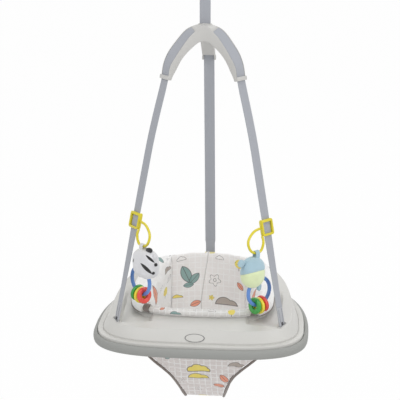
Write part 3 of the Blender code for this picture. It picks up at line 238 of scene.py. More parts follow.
@dataclass(frozen=True)
class EggPlan:
    """An egg-shaped plan curve whose front is towards -Y."""

    half_width: float
    centre_y: float
    front: float
    rear: float
    front_power: float
    rear_power: float

    def point(self, angle: float) -> Vector:
        """Return the plan point at an angle.

        Args:
            angle: Angle round the curve.

        Returns:
            The point, at no height.
        """
        c, s = math.cos(angle), math.sin(angle)
        reach, power = (self.rear, self.rear_power) if s >= 0 else (self.front, self.front_power)
        return Vector((self.half_width * math.copysign(abs(c) ** (2 / power), c),
                       self.centre_y + reach * math.copysign(abs(s) ** (2 / power), s), 0))

    def outward(self, angle: float) -> Vector:
        """Return the level direction that points out of the curve at an angle.

        Args:
            angle: Angle round the curve.

        Returns:
            The direction, of length one.
        """
        step = math.radians(1)
        tangent = self.point(angle + step) - self.point(angle - step)
        return Vector((tangent.y, -tangent.x, 0)).normalized()

    def y_at(self, x: float, rear: bool) -> float:
        """Return the curve's Y at an X, on its rear or front half.

        Args:
            x: The X that is asked about.
            rear: Whether the rear half is meant.

        Returns:
            The Y of the curve.
        """
        reach, power = (self.rear, self.rear_power) if rear else (-self.front, self.front_power)
        share = min(abs(x) / self.half_width, 1)
        return self.centre_y + reach * (1 - share ** power) ** (1 / power)

    def angle_of(self, place: Vector) -> float:
        """Return the angle whose curve point lies in the direction of a place.

        Args:
            place: The place to look towards.

        Returns:
            The angle, in radians.
        """
        x, y = place.x / self.half_width, place.y - self.centre_y
        reach, power = (self.rear, self.rear_power) if y >= 0 else (self.front, self.front_power)
        y /= reach
        return math.atan2(math.copysign(abs(y) ** (power / 2), y), math.copysign(abs(x) ** (power / 2), x))


OPENING = EggPlan(0.148, -0.050, 0.092, 0.200, 3.2, 2.4)
OUTLINE = EggPlan(0.2564, -0.100, 0.150, 0.325, 3.2, 2.3)


# Modelling with operators


class Bench:
    """Blender's modelling operators, each on what is picked for it."""

    @staticmethod
    def pick(*objects: Object) -> None:
        """Select these objects and nothing else, the first one active.

        Args:
            objects: The objects to select.
        """
        bpy.ops.object.select_all(action="DESELECT")
        for obj in objects:
            obj.select_set(True)
        bpy.context.view_layer.objects.active = objects[0]

    @staticmethod
    def named(name: str) -> Object:
        """Give the object just added its name and return it.

        Args:
            name: Its name.

        Returns:
            The object.
        """
        obj = bpy.context.object
        obj.name = obj.data.name = name
        return obj

    @staticmethod
    def loft(name: str, rings: Sequence[Ring], closed: bool = False) -> Object:
        """Extrude a ring of edges from section to section.

        Args:
            name: The new object's name.
            rings: The sections, each with the same number of points.
            closed: Whether the last section meets the first.

        Returns:
            The closed body, with a UV map in metres round and along it.
        """
        count = len(rings[0])
        bpy.ops.object.select_all(action="DESELECT")
        bpy.ops.mesh.primitive_circle_add(vertices=count, radius=1.0, fill_type="NOTHING")
        obj = Bench.named(name)
        for vert, place in zip(obj.data.vertices, rings[0]):
            vert.co = place
        bpy.ops.object.mode_set(mode="EDIT")
        mesh = bmesh.from_edit_mesh(obj.data)
        mesh.verts.layers.int.new("slot")
        mesh.verts.layers.int.new("row")
        slot = mesh.verts.layers.int["slot"]
        for i, vert in enumerate(mesh.verts):
            vert[slot] = i
        bpy.ops.mesh.select_all(action="SELECT")
        following = list(rings[1:]) + ([rings[0]] if closed else [])
        for number, places in enumerate(following, 1):
            bpy.ops.mesh.extrude_region_move()
            mesh = bmesh.from_edit_mesh(obj.data)
            slot, row = mesh.verts.layers.int["slot"], mesh.verts.layers.int["row"]
            for vert in mesh.verts:
                if vert.select:
                    vert.co = places[vert[slot]]
                    vert[row] = number
        Bench._map_loft(obj, rings, following)
        bpy.ops.mesh.select_all(action="SELECT")
        if closed:
            bpy.ops.mesh.remove_doubles(threshold=1e-6)
        else:
            bpy.ops.mesh.fill_holes(sides=0)
        bpy.ops.mesh.select_all(action="SELECT")
        bpy.ops.mesh.normals_make_consistent(inside=False)
        bpy.ops.object.mode_set(mode="OBJECT")
        return obj

    @staticmethod
    def _map_loft(obj: Object, rings: Sequence[Ring], following: Sequence[Ring]) -> None:
        """Lay a UV map on a loft in edit mode: the distance round it and the distance along it.

        Args:
            obj: The loft.
            rings: Its sections.
            following: The sections after the first, in the order they are reached.
        """
        count = len(rings[0])
        middle = rings[len(rings) // 2]
        around = [0.0]
        for i in range(count):
            around.append(around[-1] + (middle[(i + 1) % count] - middle[i]).length)
        along = [0.0]
        centres = [sum(ring, Vector()) / count for ring in [rings[0], *following]]
        for near, far in zip(centres, centres[1:]):
            along.append(along[-1] + (far - near).length)
        mesh = bmesh.from_edit_mesh(obj.data)
        slot, row = mesh.verts.layers.int["slot"], mesh.verts.layers.int["row"]
        uv = mesh.loops.layers.uv.new("UVMap")
        for face in mesh.faces:
            slots = [loop.vert[slot] for loop in face.loops]
            wraps = max(slots) - min(slots) > 1
            for loop, number in zip(face.loops, slots):
                loop[uv].uv = (around[count if wraps and number == 0 else number], along[loop.vert[row]])

    @staticmethod
    def tube(name: str, path: Sequence[Vector], radius: float, sides: int = 16,
             closed: bool = False) -> Object:
        """Make a round rod along a path, with domed ends where it doesn't meet itself."""
        size = (lambda share: radius) if closed else round_ended(radius, min(0.2, 4 / len(path)))
        return Bench.loft(name, tube_rings(list(path), size, sides, closed), closed)

    @staticmethod
    def spun(name: str, profile: Sequence[tuple[float, float]], steps: int) -> Object:
        """Spin a closed profile of radius and height about Z.

        Args:
            name: The new object's name.
            profile: Its points, as radius and height.
            steps: The steps of the turn.

        Returns:
            The closed body.
        """
        bpy.ops.object.select_all(action="DESELECT")
        bpy.ops.mesh.primitive_circle_add(vertices=len(profile), radius=1.0, fill_type="NOTHING")
        obj = Bench.named(name)
        for vert, (radius, height) in zip(obj.data.vertices, profile):
            vert.co = (radius, 0, height)
        bpy.ops.object.mode_set(mode="EDIT")
        bpy.ops.mesh.select_all(action="SELECT")
        bpy.ops.mesh.spin(steps=steps, angle=2 * math.pi, center=(0, 0, 0), axis=(0, 0, 1))
        bpy.ops.mesh.select_all(action="SELECT")
        bpy.ops.mesh.remove_doubles(threshold=1e-6)
        bpy.ops.mesh.normals_make_consistent(inside=False)
        bpy.ops.object.mode_set(mode="OBJECT")
        return obj

    @staticmethod
    def block(name: str, low: Sequence[float], high: Sequence[float], bevel: float = 0.0,
              cuts: int = 3) -> Object:
        """Add a cube between two corners and bevel its edges.

        Args:
            name: The new object's name.
            low: The lowest corner.
            high: The highest corner.
            bevel: The bevel's width, or 0 for none.
            cuts: The bevel's segments.

        Returns:
            The block.
        """
        size = [b - a for a, b in zip(low, high)]
        middle = [(a + b) / 2 for a, b in zip(low, high)]
        bpy.ops.object.select_all(action="DESELECT")
        bpy.ops.mesh.primitive_cube_add(size=1.0, location=middle)
        obj = Bench.named(name)
        obj.scale = size
        bpy.ops.object.transform_apply(location=True, rotation=True, scale=True)
        if bevel:
            bpy.ops.object.mode_set(mode="EDIT")
            bpy.ops.mesh.select_all(action="SELECT")
            bpy.ops.mesh.bevel(offset=bevel, segments=cuts, affect="EDGES")
            bpy.ops.object.mode_set(mode="OBJECT")
        return obj

    @staticmethod
    def slab(name: str, outline: Sequence[Vector], thickness: float, bevel: float) -> Object:
        """Extrude a flat outline of the XY plane by a thickness and bevel both of its rims.

        Args:
            name: The new object's name.
            outline: The outline's points.
            thickness: How far it rises.
            bevel: The bevel's width.

        Returns:
            The slab.
        """
        bpy.ops.object.select_all(action="DESELECT")
        bpy.ops.mesh.primitive_circle_add(vertices=len(outline), radius=1.0, fill_type="NGON")
        obj = Bench.named(name)
        for vert, place in zip(obj.data.vertices, outline):
            vert.co = place - UP * thickness / 2
        bpy.ops.object.mode_set(mode="EDIT")
        bpy.ops.mesh.select_all(action="SELECT")
        bpy.ops.mesh.extrude_region_move(TRANSFORM_OT_translate={"value": (0, 0, thickness)})
        bpy.ops.mesh.select_all(action="SELECT")
        bpy.ops.mesh.normals_make_consistent(inside=False)
        bpy.ops.mesh.select_all(action="DESELECT")
        mesh = bmesh.from_edit_mesh(obj.data)
        for edge in mesh.edges:
            level = edge.verts[0].co.z - edge.verts[1].co.z
            edge.select_set(abs(level) < thickness / 10)
        bmesh.update_edit_mesh(obj.data)
        bpy.ops.mesh.bevel(offset=bevel, segments=3, affect="EDGES")
        bpy.ops.object.mode_set(mode="OBJECT")
        return obj

    @staticmethod
    def ball(name: str, half: Sequence[float], centre: Vector, segments: int = 48,
             rows: int = 32) -> Object:
        """Add a sphere and stretch it to the given half sizes.

        Args:
            name: The new object's name.
            half: The half sizes.
            centre: Its centre.
            segments: The faces round it.
            rows: The faces from pole to pole.

        Returns:
            The ball.
        """
        bpy.ops.object.select_all(action="DESELECT")
        bpy.ops.mesh.primitive_uv_sphere_add(segments=segments, ring_count=rows, radius=1.0)
        obj = Bench.named(name)
        obj.scale = half
        bpy.ops.object.transform_apply(location=True, rotation=True, scale=True)
        obj.data.transform(Matrix.Translation(centre))
        return obj

    @staticmethod
    def apply(obj: Object, kind: str, **settings: object) -> Object:
        """Add a modifier with its settings and apply it.

        Args:
            obj: The object to change.
            kind: The modifier's type.
            settings: The modifier's settings.

        Returns:
            The object.
        """
        Bench.pick(obj)
        modifier = obj.modifiers.new(kind.lower(), kind)
        for key, value in settings.items():
            setattr(modifier, key, value)
        bpy.ops.object.modifier_apply(modifier=modifier.name)
        return obj

    @staticmethod
    def combine(obj: Object, operation: str, *others: Object) -> Object:
        """Unite the object with others, or cut them from it, and remove them.

        Args:
            obj: The object to change.
            operation: UNION or DIFFERENCE.
            others: The objects that are used up.

        Returns:
            The object.
        """
        for other in others:
            Bench.apply(obj, "BOOLEAN", operation=operation, solver="EXACT", object=other)
            bpy.data.objects.remove(other)
        return obj

    @staticmethod
    def joined(name: str, parts: Sequence[Object]) -> Object:
        """Join several objects into one.

        Args:
            name: The new object's name.
            parts: The objects that are used up.

        Returns:
            The joined object.
        """
        Bench.pick(*parts)
        bpy.ops.object.join()
        return Bench.named(name)

    @staticmethod
    def rounded(obj: Object, width: float, segments: int = 2) -> Object:
        """Bevel the object's hard edges."""
        return Bench.apply(obj, "BEVEL", width=width, segments=segments, limit_method="ANGLE",
                           angle_limit=math.radians(32), use_clamp_overlap=True, harden_normals=False)

    @staticmethod
    def copy_of(node: str, name: str) -> Object:
        """Copy a CAD node's mesh as one welded surface with flat faces made whole.

        Args:
            node: The CAD node.
            name: The copy's name.

        Returns:
            The copy.
        """
        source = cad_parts[node]
        obj = bpy.data.objects.new(name, source.data.copy())
        bpy.context.scene.collection.objects.link(obj)
        Bench.pick(obj)
        bpy.ops.object.mode_set(mode="EDIT")
        bpy.ops.mesh.select_all(action="SELECT")
        bpy.ops.mesh.remove_doubles(threshold=1e-5)
        bpy.ops.mesh.dissolve_limited(angle_limit=math.radians(1.5))
        bpy.ops.mesh.normals_make_consistent(inside=False)
        bpy.ops.object.mode_set(mode="OBJECT")
        return obj


@dataclass(frozen=True)
class Berth:
    """Where a finished piece belongs: its body, its material slot, which is not used, and the CAD nodes it
    stands for.
    """

    body: str
    slot: str
    nodes: tuple[str, ...] = ()
    shift: Vector = SEAT_SHIFT
    smooth_degrees: float = 40.0

    def take(self, obj: Object, material: bpy.types.Material) -> Object:
        """Settle a piece: place in its mesh, smooth shading, finish and body.

        Args:
            obj: The finished mesh.
            material: Its finish.

        Returns:
            The same object, riding on its body.
        """
        bpy.context.view_layer.update()
        obj.data.transform(Matrix.Translation(self.shift) @ obj.matrix_world)
        obj.matrix_world = Matrix.Identity(4)
        obj.data.materials.clear()
        obj.data.materials.append(material)
        Bench.pick(obj)
        bpy.ops.object.shade_smooth_by_angle(angle=math.radians(self.smooth_degrees))
        if self.body:
            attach(obj, self.body)
        if self.nodes:
            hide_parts(*self.nodes)
        LOG.info("%s rides on %s, %d faces", obj.name, self.body, len(obj.data.polygons))
        return obj


# Finishes


def srgb(colour: Colour) -> tuple[float, float, float, float]:
    """Return a screen colour of 0 to 255 as a linear colour.

    Args:
        colour: Red, green and blue.

    Returns:
        The linear red, green and blue, and an alpha of 1.
    """
    parts = [channel / 255 for channel in colour]
    linear = [c / 12.92 if c <= 0.04045 else ((c + 0.055) / 1.055) ** 2.4 for c in parts]
    return (*linear, 1.0)


class Tree:
    """Short calls that add nodes to one node tree."""

    def __init__(self, tree: NodeTree) -> None:
        """Keep the tree that the nodes go to."""
        self.tree = tree

    def add(self, kind: str, inputs: Optional[dict] = None, **settings: object) -> Node:
        """Add a node.

        Args:
            kind: The node's type, without the word ShaderNode.
            inputs: Values or sockets for its inputs, by name or number.
            settings: The node's own settings.

        Returns:
            The node.
        """
        node = self.tree.nodes.new("ShaderNode" + kind)
        for key, value in settings.items():
            setattr(node, key, value)
        return self.feed_all(node, inputs or {})

    def feed_all(self, node: Node, values: dict) -> Node:
        """Feed several inputs of a node, by name or number.

        Args:
            node: The node.
            values: Values or sockets by the input's name or number.

        Returns:
            The node.
        """
        for key, value in values.items():
            self.feed(node.inputs[key], value)
        return node

    def feed(self, socket: Socket, value: object) -> None:
        """Link a socket to an input, or set the input's value.

        Args:
            socket: The input.
            value: A socket or a plain value.
        """
        if isinstance(value, Socket):
            self.tree.links.new(value, socket)
        else:
            socket.default_value = value

    def math(self, operation: str, *values: object, clamp: bool = False) -> Socket:
        """Add a sum of numbers and return its result."""
        return self.add("Math", dict(enumerate(values)), operation=operation, use_clamp=clamp).outputs[0]

    def times(self, *values: object) -> Socket:
        """Multiply two numbers."""
        return self.math("MULTIPLY", *values)

    def plus(self, *values: object) -> Socket:
        """Add two numbers."""
        return self.math("ADD", *values)

    def minus(self, *values: object) -> Socket:
        """Subtract the second number from the first."""
        return self.math("SUBTRACT", *values)

    def vector(self, operation: str, *values: object, out: int = 0) -> Socket:
        """Add a sum of vectors and return its result."""
        return self.add("VectorMath", dict(enumerate(values)), operation=operation).outputs[out]

    def mix(self, share: object, first: object, second: object) -> Socket:
        """Mix two colours by a share."""
        return self.add("Mix", {0: share, 6: first, 7: second}, data_type="RGBA").outputs[2]

    def step(self, value: object, low: float, high: float, rising: bool = True) -> Socket:
        """Return a smooth step between two values, up or down.

        Args:
            value: The number to look at.
            low: Where the step starts.
            high: Where it ends.
            rising: Whether it goes from 0 to 1.

        Returns:
            The step's result.
        """
        ends = {3: 0.0, 4: 1.0} if rising else {3: 1.0, 4: 0.0}
        return self.add("MapRange", {0: value, 1: low, 2: high, **ends},
                        interpolation_type="SMOOTHSTEP").outputs[0]

    def noise(self, vector: object, scale: object, detail: float = 3.0) -> Socket:
        """Return a noise value over a vector."""
        return self.add("TexNoise", {"Vector": vector, "Scale": scale, "Detail": detail}).outputs[0]

    def group(self, name: str, inputs: dict) -> Node:
        """Place a shader group with its values.

        Args:
            name: The group's name.
            inputs: Values or sockets by the input's name.

        Returns:
            The group's node.
        """
        node = self.tree.nodes.new("ShaderNodeGroup")
        node.node_tree = Groups.get(name)
        return self.feed_all(node, inputs)


class Groups:
    """The effects that several finishes share, each built once."""

    VECTOR = "NodeSocketVector"
    NUMBER = "NodeSocketFloat"

    @staticmethod
    def get(name: str) -> NodeTree:
        """Return a group, building it when it is first asked for.

        Args:
            name: The group's name.

        Returns:
            The group.
        """
        drawn = name in [motif.value for motif in Motif]
        make = Groups._motif if drawn else getattr(Groups, "_" + name)
        return bpy.data.node_groups.get(name) or make(name)

    @staticmethod
    def _start(name: str, takes: dict[str, Optional[float]], gives: Sequence[str],
               kind: str = NUMBER) -> tuple[Tree, dict, Callable]:
        """Make an empty group with named inputs and outputs.

        Args:
            name: The group's name.
            takes: Each input's name with its default, or None for a vector.
            gives: The outputs' names.
            kind: The outputs' socket type.

        Returns:
            The tree, its input sockets by name and a call that closes it with its results.
        """
        made = bpy.data.node_groups.new(name, "ShaderNodeTree")
        for key, default in takes.items():
            taken = Groups.VECTOR if default is None else Groups.NUMBER
            socket = made.interface.new_socket(key, in_out="INPUT", socket_type=taken)
            if default is not None:
                socket.default_value = default
        for key in gives:
            made.interface.new_socket(key, in_out="OUTPUT", socket_type=kind)
        tree = Tree(made)
        entry = made.nodes.new("NodeGroupInput")

        def close(**results: Socket) -> NodeTree:
            """Feed the results to the group's outputs and return the group."""
            tree.feed_all(made.nodes.new("NodeGroupOutput"), results)
            return made

        return tree, entry.outputs, close

    @staticmethod
    def _moulding(name: str) -> NodeTree:
        """Moulded plastic: a faint mottle, a spark-eroded grain and rubbed patches.

        Args:
            name: The group's name.

        Returns:
            The group.
        """
        tree, take, close = Groups._start(name, {"Vector": None, "Grain": 900.0}, ("Mottle", "Height", "Rub"))
        mottle = tree.noise(take["Vector"], 9.0, 4.0)
        grain = tree.noise(take["Vector"], take["Grain"], 2.0)
        swell = tree.noise(take["Vector"], 28.0, 2.0)
        rub = tree.step(tree.noise(take["Vector"], 55.0, 5.0), 0.52, 0.72)
        height = tree.plus(tree.times(grain, 0.35), swell)
        return close(Mottle=mottle, Height=height, Rub=rub)

    @staticmethod
    def _webbing(name: str) -> NodeTree:
        """Woven webbing: ribs across the strap, staggered in narrow lanes along it, with painted shade in the
        grooves between them.

        Args:
            name: The group's name.

        Returns:
            The group.
        """
        tree, take, close = Groups._start(
            name, {"Vector": None, "Lane": 0.0016, "Rib": 0.0011}, ("Height", "Shade"))
        parts = tree.add("SeparateXYZ", {0: take["Vector"]})
        lane = tree.math("DIVIDE", parts.outputs[0], take["Lane"])
        stagger = tree.times(tree.math("PINGPONG", lane, 1.0), 0.9)
        rib = tree.plus(tree.math("DIVIDE", parts.outputs[1], take["Rib"]), stagger)
        wave = tree.math("SINE", tree.times(rib, 2 * math.pi))
        edge = tree.math("SINE", tree.times(lane, 2 * math.pi))
        height = tree.plus(tree.times(wave, 0.6), tree.times(edge, 0.4))
        worn = tree.noise(take["Vector"], 60.0, 4.0)
        # Rib height darkens the grooves and lightens the rib tops in the colour: painted shade; the noise is
        # a random change of tone.
        rib_shade_and_tone = tree.plus(tree.times(height, 0.22), worn)
        return close(Height=height, Shade=rib_shade_and_tone)

    @staticmethod
    def _cloth(name: str) -> NodeTree:
        """Plain woven cloth: crossing threads with slubs.

        Args:
            name: The group's name.

        Returns:
            The group.
        """
        tree, take, close = Groups._start(name, {"Vector": None, "Thread": 0.0008}, ("Height", "Shade"))
        slub = tree.noise(take["Vector"], 420.0, 3.0)
        parts = tree.add("SeparateXYZ", {0: take["Vector"]})
        shares = [tree.math("DIVIDE", part, take["Thread"]) for part in parts.outputs[:2]]
        waves = [tree.math("SINE", tree.times(share, 2 * math.pi)) for share in shares]
        weave = tree.times(*waves)
        height = tree.plus(tree.times(weave, 0.5), slub)
        return close(Height=height, Shade=tree.noise(take["Vector"], 35.0, 5.0))

    @staticmethod
    def _pile(name: str) -> NodeTree:
        """Short pile: soft tufts of mixed sizes.

        Args:
            name: The group's name.

        Returns:
            The group.
        """
        tree, take, close = Groups._start(name, {"Vector": None, "Scale": 700.0}, ("Height", "Shade"))
        tufts = tree.noise(take["Vector"], take["Scale"], 4.0)
        coarse = tree.noise(take["Vector"], 160.0, 3.0)
        return close(Height=tree.plus(tufts, tree.times(coarse, 0.7)),
                     Shade=tree.noise(take["Vector"], 45.0, 4.0))

    @staticmethod
    def _check(name: str) -> NodeTree:
        """A hand-drawn check of paler lines.

        Args:
            name: The group's name.

        Returns:
            The group.
        """
        tree, take, close = Groups._start(name, {"Vector": None, "Pitch": 0.0145, "Width": 0.08}, ("Line",))
        wobble = tree.add("TexNoise", {"Vector": take["Vector"], "Scale": 22.0, "Detail": 1.0}).outputs[1]
        drift = tree.vector("SCALE", tree.vector("SUBTRACT", wobble, (0.5, 0.5, 0.5)))
        drift.node.inputs[3].default_value = 0.004
        parts = tree.add("SeparateXYZ", {0: tree.vector("ADD", take["Vector"], drift)})
        lines = []
        for part in parts.outputs[:2]:
            cell = tree.math("DIVIDE", part, take["Pitch"])
            off = tree.math("ABSOLUTE", tree.minus(tree.math("FRACT", cell), 0.5))
            lines.append(tree.math("LESS_THAN", off, take["Width"]))
        faded = tree.step(tree.noise(take["Vector"], 90.0, 2.0), 0.30, 0.55)
        return close(Line=tree.times(tree.math("MAXIMUM", *lines), faded))

    @staticmethod
    def _seam(name: str) -> NodeTree:
        """The dark line along a sewn seam between two spots of the cloth: its thread and painted shade in the
        seam's fold.

        Args:
            name: The group's name.

        Returns:
            The group.
        """
        tree, take, close = Groups._start(name, {"Vector": None, "Start": None, "Stop": None}, ("Line",))
        off = tree.vector("MULTIPLY", tree.vector("SUBTRACT", take["Vector"], take["Start"]), (1, 1, 0))
        run = tree.vector("SUBTRACT", take["Stop"], take["Start"])
        share = tree.math("DIVIDE", tree.vector("DOT_PRODUCT", off, run, out=1),
                          tree.vector("DOT_PRODUCT", run, run, out=1), clamp=True)
        near = tree.add("VectorMath", {0: run, 3: share}, operation="SCALE").outputs[0]
        distance = tree.vector("LENGTH", tree.vector("SUBTRACT", off, near), out=1)
        uneven = tree.times(tree.noise(take["Vector"], 160.0, 2.0), 0.0016)
        return close(Line=tree.step(tree.minus(distance, uneven), 0.0001, 0.0012, rising=False))

    @staticmethod
    def _motif_place(name: str) -> NodeTree:
        """Turn and scale the cloth's coordinates to a motif's own.

        Args:
            name: The group's name.

        Returns:
            The group.
        """
        tree, take, close = Groups._start(
            name, {"Vector": None, "Centre": None, "Angle": 0.0, "Size": 0.0}, ("Place",), Groups.VECTOR)
        off = tree.vector("MULTIPLY", tree.vector("SUBTRACT", take["Vector"], take["Centre"]), (1, 1, 0))
        turned = tree.add("VectorRotate", {"Vector": off, "Angle": take["Angle"]}, rotation_type="Z_AXIS")
        scaled = tree.add("VectorMath", {0: turned.outputs[0], 3: tree.math("DIVIDE", 1.0, take["Size"])},
                          operation="SCALE")
        return close(Place=scaled.outputs[0])

    @staticmethod
    def _edge(tree: Tree, distance: Socket, thick: float) -> tuple:
        """Return the inside and the drawn line of a shape from its signed distance.

        Args:
            tree: The nodes it is drawn with.
            distance: The signed distance.
            thick: Half the line's thickness.

        Returns:
            The inside and the line.
        """
        inside = tree.step(distance, -0.02, 0.02, rising=False)
        line = tree.step(tree.math("ABSOLUTE", distance), thick * 0.6, thick, rising=False)
        return inside, line

    @staticmethod
    def _circle(tree: Tree, place: object, centre: Sequence[float], radius: float) -> Socket:
        """Return the signed distance to a circle."""
        off = tree.vector("SUBTRACT", place, (*centre, 0.0))
        return tree.minus(tree.vector("LENGTH", off, out=1), radius)

    @staticmethod
    def _motif(name: str) -> NodeTree:
        """Build a motif's group from its drawing, which gives its fill and its line.

        Args:
            name: The group's name.

        Returns:
            The group.
        """
        tree, take, close = Groups._start(name, {"Place": None}, ("Fill", "Line"))
        fill, line = getattr(Groups, "_draw_" + name)(tree, take["Place"])
        return close(Fill=fill, Line=line)

    @staticmethod
    def _draw_leaf(tree: Tree, place: Socket) -> tuple:
        """Draw a pointed leaf with a midrib.

        Args:
            tree: The group's nodes.
            place: The motif's own coordinates.

        Returns:
            The fill and the line.
        """
        body = tree.math("MAXIMUM", Groups._circle(tree, place, (0.75, 0), 1.25),
                         Groups._circle(tree, place, (-0.75, 0), 1.25))
        inside, line = Groups._edge(tree, body, 0.05)
        x = tree.add("SeparateXYZ", {0: place}).outputs[0]
        rib = tree.times(tree.step(tree.math("ABSOLUTE", x), 0.02, 0.05, rising=False), inside)
        return inside, tree.math("MAXIMUM", line, rib)

    @staticmethod
    def _draw_cloud(tree: Tree, place: Socket) -> tuple:
        """Draw a cloud of four lobes on a flat base.

        Args:
            tree: The group's nodes.
            place: The motif's own coordinates.

        Returns:
            The fill and the line.
        """
        lobes = [Groups._circle(tree, place, centre, radius) for centre, radius in
                 (((-0.62, 0.0), 0.38), ((-0.1, 0.22), 0.50), ((0.45, 0.08), 0.42), ((0.8, -0.08), 0.26))]
        body = lobes[0]
        for lobe in lobes[1:]:
            body = tree.math("MINIMUM", body, lobe)
        y = tree.add("SeparateXYZ", {0: place}).outputs[1]
        body = tree.math("MAXIMUM", body, tree.minus(tree.times(y, -1.0), 0.22))
        return Groups._edge(tree, body, 0.06)

    @staticmethod
    def _draw_hill(tree: Tree, place: Socket) -> tuple:
        """Draw two round hills, one before the other.

        Args:
            tree: The group's nodes.
            place: The motif's own coordinates.

        Returns:
            The fill and the line.
        """
        near = Groups._circle(tree, place, (-0.3, -0.55), 0.85)
        far = Groups._circle(tree, place, (0.45, -0.6), 0.65)
        y = tree.add("SeparateXYZ", {0: place}).outputs[1]
        floor = tree.minus(tree.times(y, -1.0), 0.4)
        return Groups._edge(tree, tree.math("MAXIMUM", tree.math("MINIMUM", near, far), floor), 0.05)

    @staticmethod
    def _draw_bloom(tree: Tree, place: Socket) -> tuple:
        """Draw a five-petalled bloom with an eye.

        Args:
            tree: The group's nodes.
            place: The motif's own coordinates.

        Returns:
            The fill and the line.
        """
        parts = tree.add("SeparateXYZ", {0: place})
        angle = tree.math("ARCTAN2", parts.outputs[1], parts.outputs[0])
        petal = tree.times(tree.math("COSINE", tree.times(angle, 5.0)), 0.18)
        body = tree.minus(tree.vector("LENGTH", place, out=1), tree.plus(petal, 0.75))
        inside, line = Groups._edge(tree, body, 0.05)
        eye = Groups._edge(tree, Groups._circle(tree, place, (0, 0), 0.22), 0.05)[1]
        return inside, tree.math("MAXIMUM", line, eye)

    @staticmethod
    def _draw_bush(tree: Tree, place: Socket) -> tuple:
        """Draw a round bush on a short stem, with dark dots.

        Args:
            tree: The group's nodes.
            place: The motif's own coordinates.

        Returns:
            The fill and the line.
        """
        inside = Groups._edge(tree, Groups._circle(tree, place, (0, 0.2), 0.75), 0.05)[0]
        dots = tree.add("TexVoronoi", {"Vector": place, "Scale": 2.6, "Randomness": 0.6}).outputs[0]
        spots = tree.times(tree.step(dots, 0.16, 0.24, rising=False), inside)
        parts = tree.add("SeparateXYZ", {0: place})
        thin = tree.step(tree.math("ABSOLUTE", parts.outputs[0]), 0.05, 0.09, rising=False)
        low = tree.times(tree.math("LESS_THAN", parts.outputs[1], -0.5),
                         tree.math("GREATER_THAN", parts.outputs[1], -1.0))
        return inside, tree.math("MAXIMUM", spots, tree.times(thin, low))


@dataclass(frozen=True)
class Finish:
    """A finish with one main colour; its subclasses add their own texture."""

    name: str
    colour: Colour
    roughness: float = 0.5

    def material(self) -> bpy.types.Material:
        """Return the finish as a material, made once.

        Returns:
            The material.
        """
        title = f"{self.name}_finish"
        found = bpy.data.materials.get(title)
        if found:
            return found
        made = bpy.data.materials.new(title)
        made.use_nodes = True
        tree = Tree(made.node_tree)
        shader = made.node_tree.nodes["Principled BSDF"]
        shader.inputs["Roughness"].default_value = self.roughness
        shader.inputs["Base Color"].default_value = srgb(self.colour)
        self.dress(tree, shader)
        return made

    def dress(self, tree: Tree, shader: Node) -> None:
        """Add the finish's own nodes."""

    def tone(self, share: float) -> tuple[float, float, float, float]:
        """Return the colour, lighter or darker by a share."""
        return (*[min(channel * share, 1.0) for channel in srgb(self.colour)[:3]], 1.0)

    @staticmethod
    def bump(tree: Tree, shader: Node, height: object, strength: float, distance: float) -> None:
        """Feed a height to the shader's normal."""
        node = tree.add("Bump", {"Height": height, "Strength": strength, "Distance": distance})
        tree.feed(shader.inputs["Normal"], node.outputs[0])


@dataclass(frozen=True)
class Moulded(Finish):
    """Moulded plastic or rubber with a fine grain."""

    grain: float = 900.0
    relief: float = 0.00012
    specular: float = 0.5

    def dress(self, tree: Tree, shader: Node) -> None:
        """Add a faint mottle, rubbed patches and the mould's grain.

        Args:
            tree: The material's nodes.
            shader: Its surface node.
        """
        place = tree.add("TexCoord").outputs["Object"]
        marks = tree.group("moulding", {"Vector": place, "Grain": self.grain}).outputs
        tree.feed_all(shader, {
            "Base Color": tree.mix(marks["Mottle"], self.tone(0.955), self.tone(1.045)),
            "Roughness": tree.plus(tree.times(marks["Rub"], -0.08), self.roughness),
            "Specular IOR Level": self.specular})
        self.bump(tree, shader, marks["Height"], 0.35, self.relief)


@dataclass(frozen=True)
class Glossy(Finish):
    """Bright glossy moulding of the clips, rings and discs."""

    coat: float = 0.5

    def dress(self, tree: Tree, shader: Node) -> None:
        """Add a clear skin, slight flow marks and a hint of light inside.

        Args:
            tree: The material's nodes.
            shader: Its surface node.
        """
        place = tree.add("TexCoord").outputs["Object"]
        marks = tree.group("moulding", {"Vector": place, "Grain": 500.0}).outputs
        tree.feed_all(shader, {
            "Base Color": tree.mix(marks["Mottle"], self.tone(0.93), self.tone(1.05)),
            "Roughness": tree.plus(tree.times(marks["Rub"], 0.12), self.roughness),
            "Coat Weight": self.coat, "Coat Roughness": 0.12,
            "Subsurface Weight": 0.06, "Subsurface Radius": (0.01, 0.01, 0.01)})
        self.bump(tree, shader, marks["Height"], 0.2, 0.0001)


@dataclass(frozen=True)
class Webbing(Finish):
    """Woven polyester webbing, drawn on the strap's own map."""

    def dress(self, tree: Tree, shader: Node) -> None:
        """Add the ribs, painted shade in their grooves with lighter painted rib tops, and a random change of
        tone.

        Args:
            tree: The material's nodes.
            shader: Its surface node.
        """
        place = tree.add("TexCoord").outputs["UV"]
        weave = tree.group("webbing", {"Vector": place}).outputs
        # The share lays painted shade in the ribs' grooves over a random change of tone.
        share = tree.step(weave["Shade"], 0.2, 0.85)
        tree.feed_all(shader, {"Base Color": tree.mix(share, self.tone(0.80), self.tone(1.16)),
                               "Sheen Weight": 0.25, "Sheen Roughness": 0.4})
        self.bump(tree, shader, weave["Height"], 0.6, 0.00025)


@dataclass(frozen=True)
class Tape(Finish):
    """Narrow woven tape."""

    def dress(self, tree: Tree, shader: Node) -> None:
        """Add a close weave and a soft sheen.

        Args:
            tree: The material's nodes.
            shader: Its surface node.
        """
        place = tree.add("TexCoord").outputs["Object"]
        weave = tree.group("cloth", {"Vector": place, "Thread": 0.0011}).outputs
        tree.feed_all(shader, {"Base Color": tree.mix(weave["Shade"], self.tone(0.78), self.tone(1.2)),
                               "Sheen Weight": 0.3})
        self.bump(tree, shader, weave["Height"], 0.6, 0.0003)


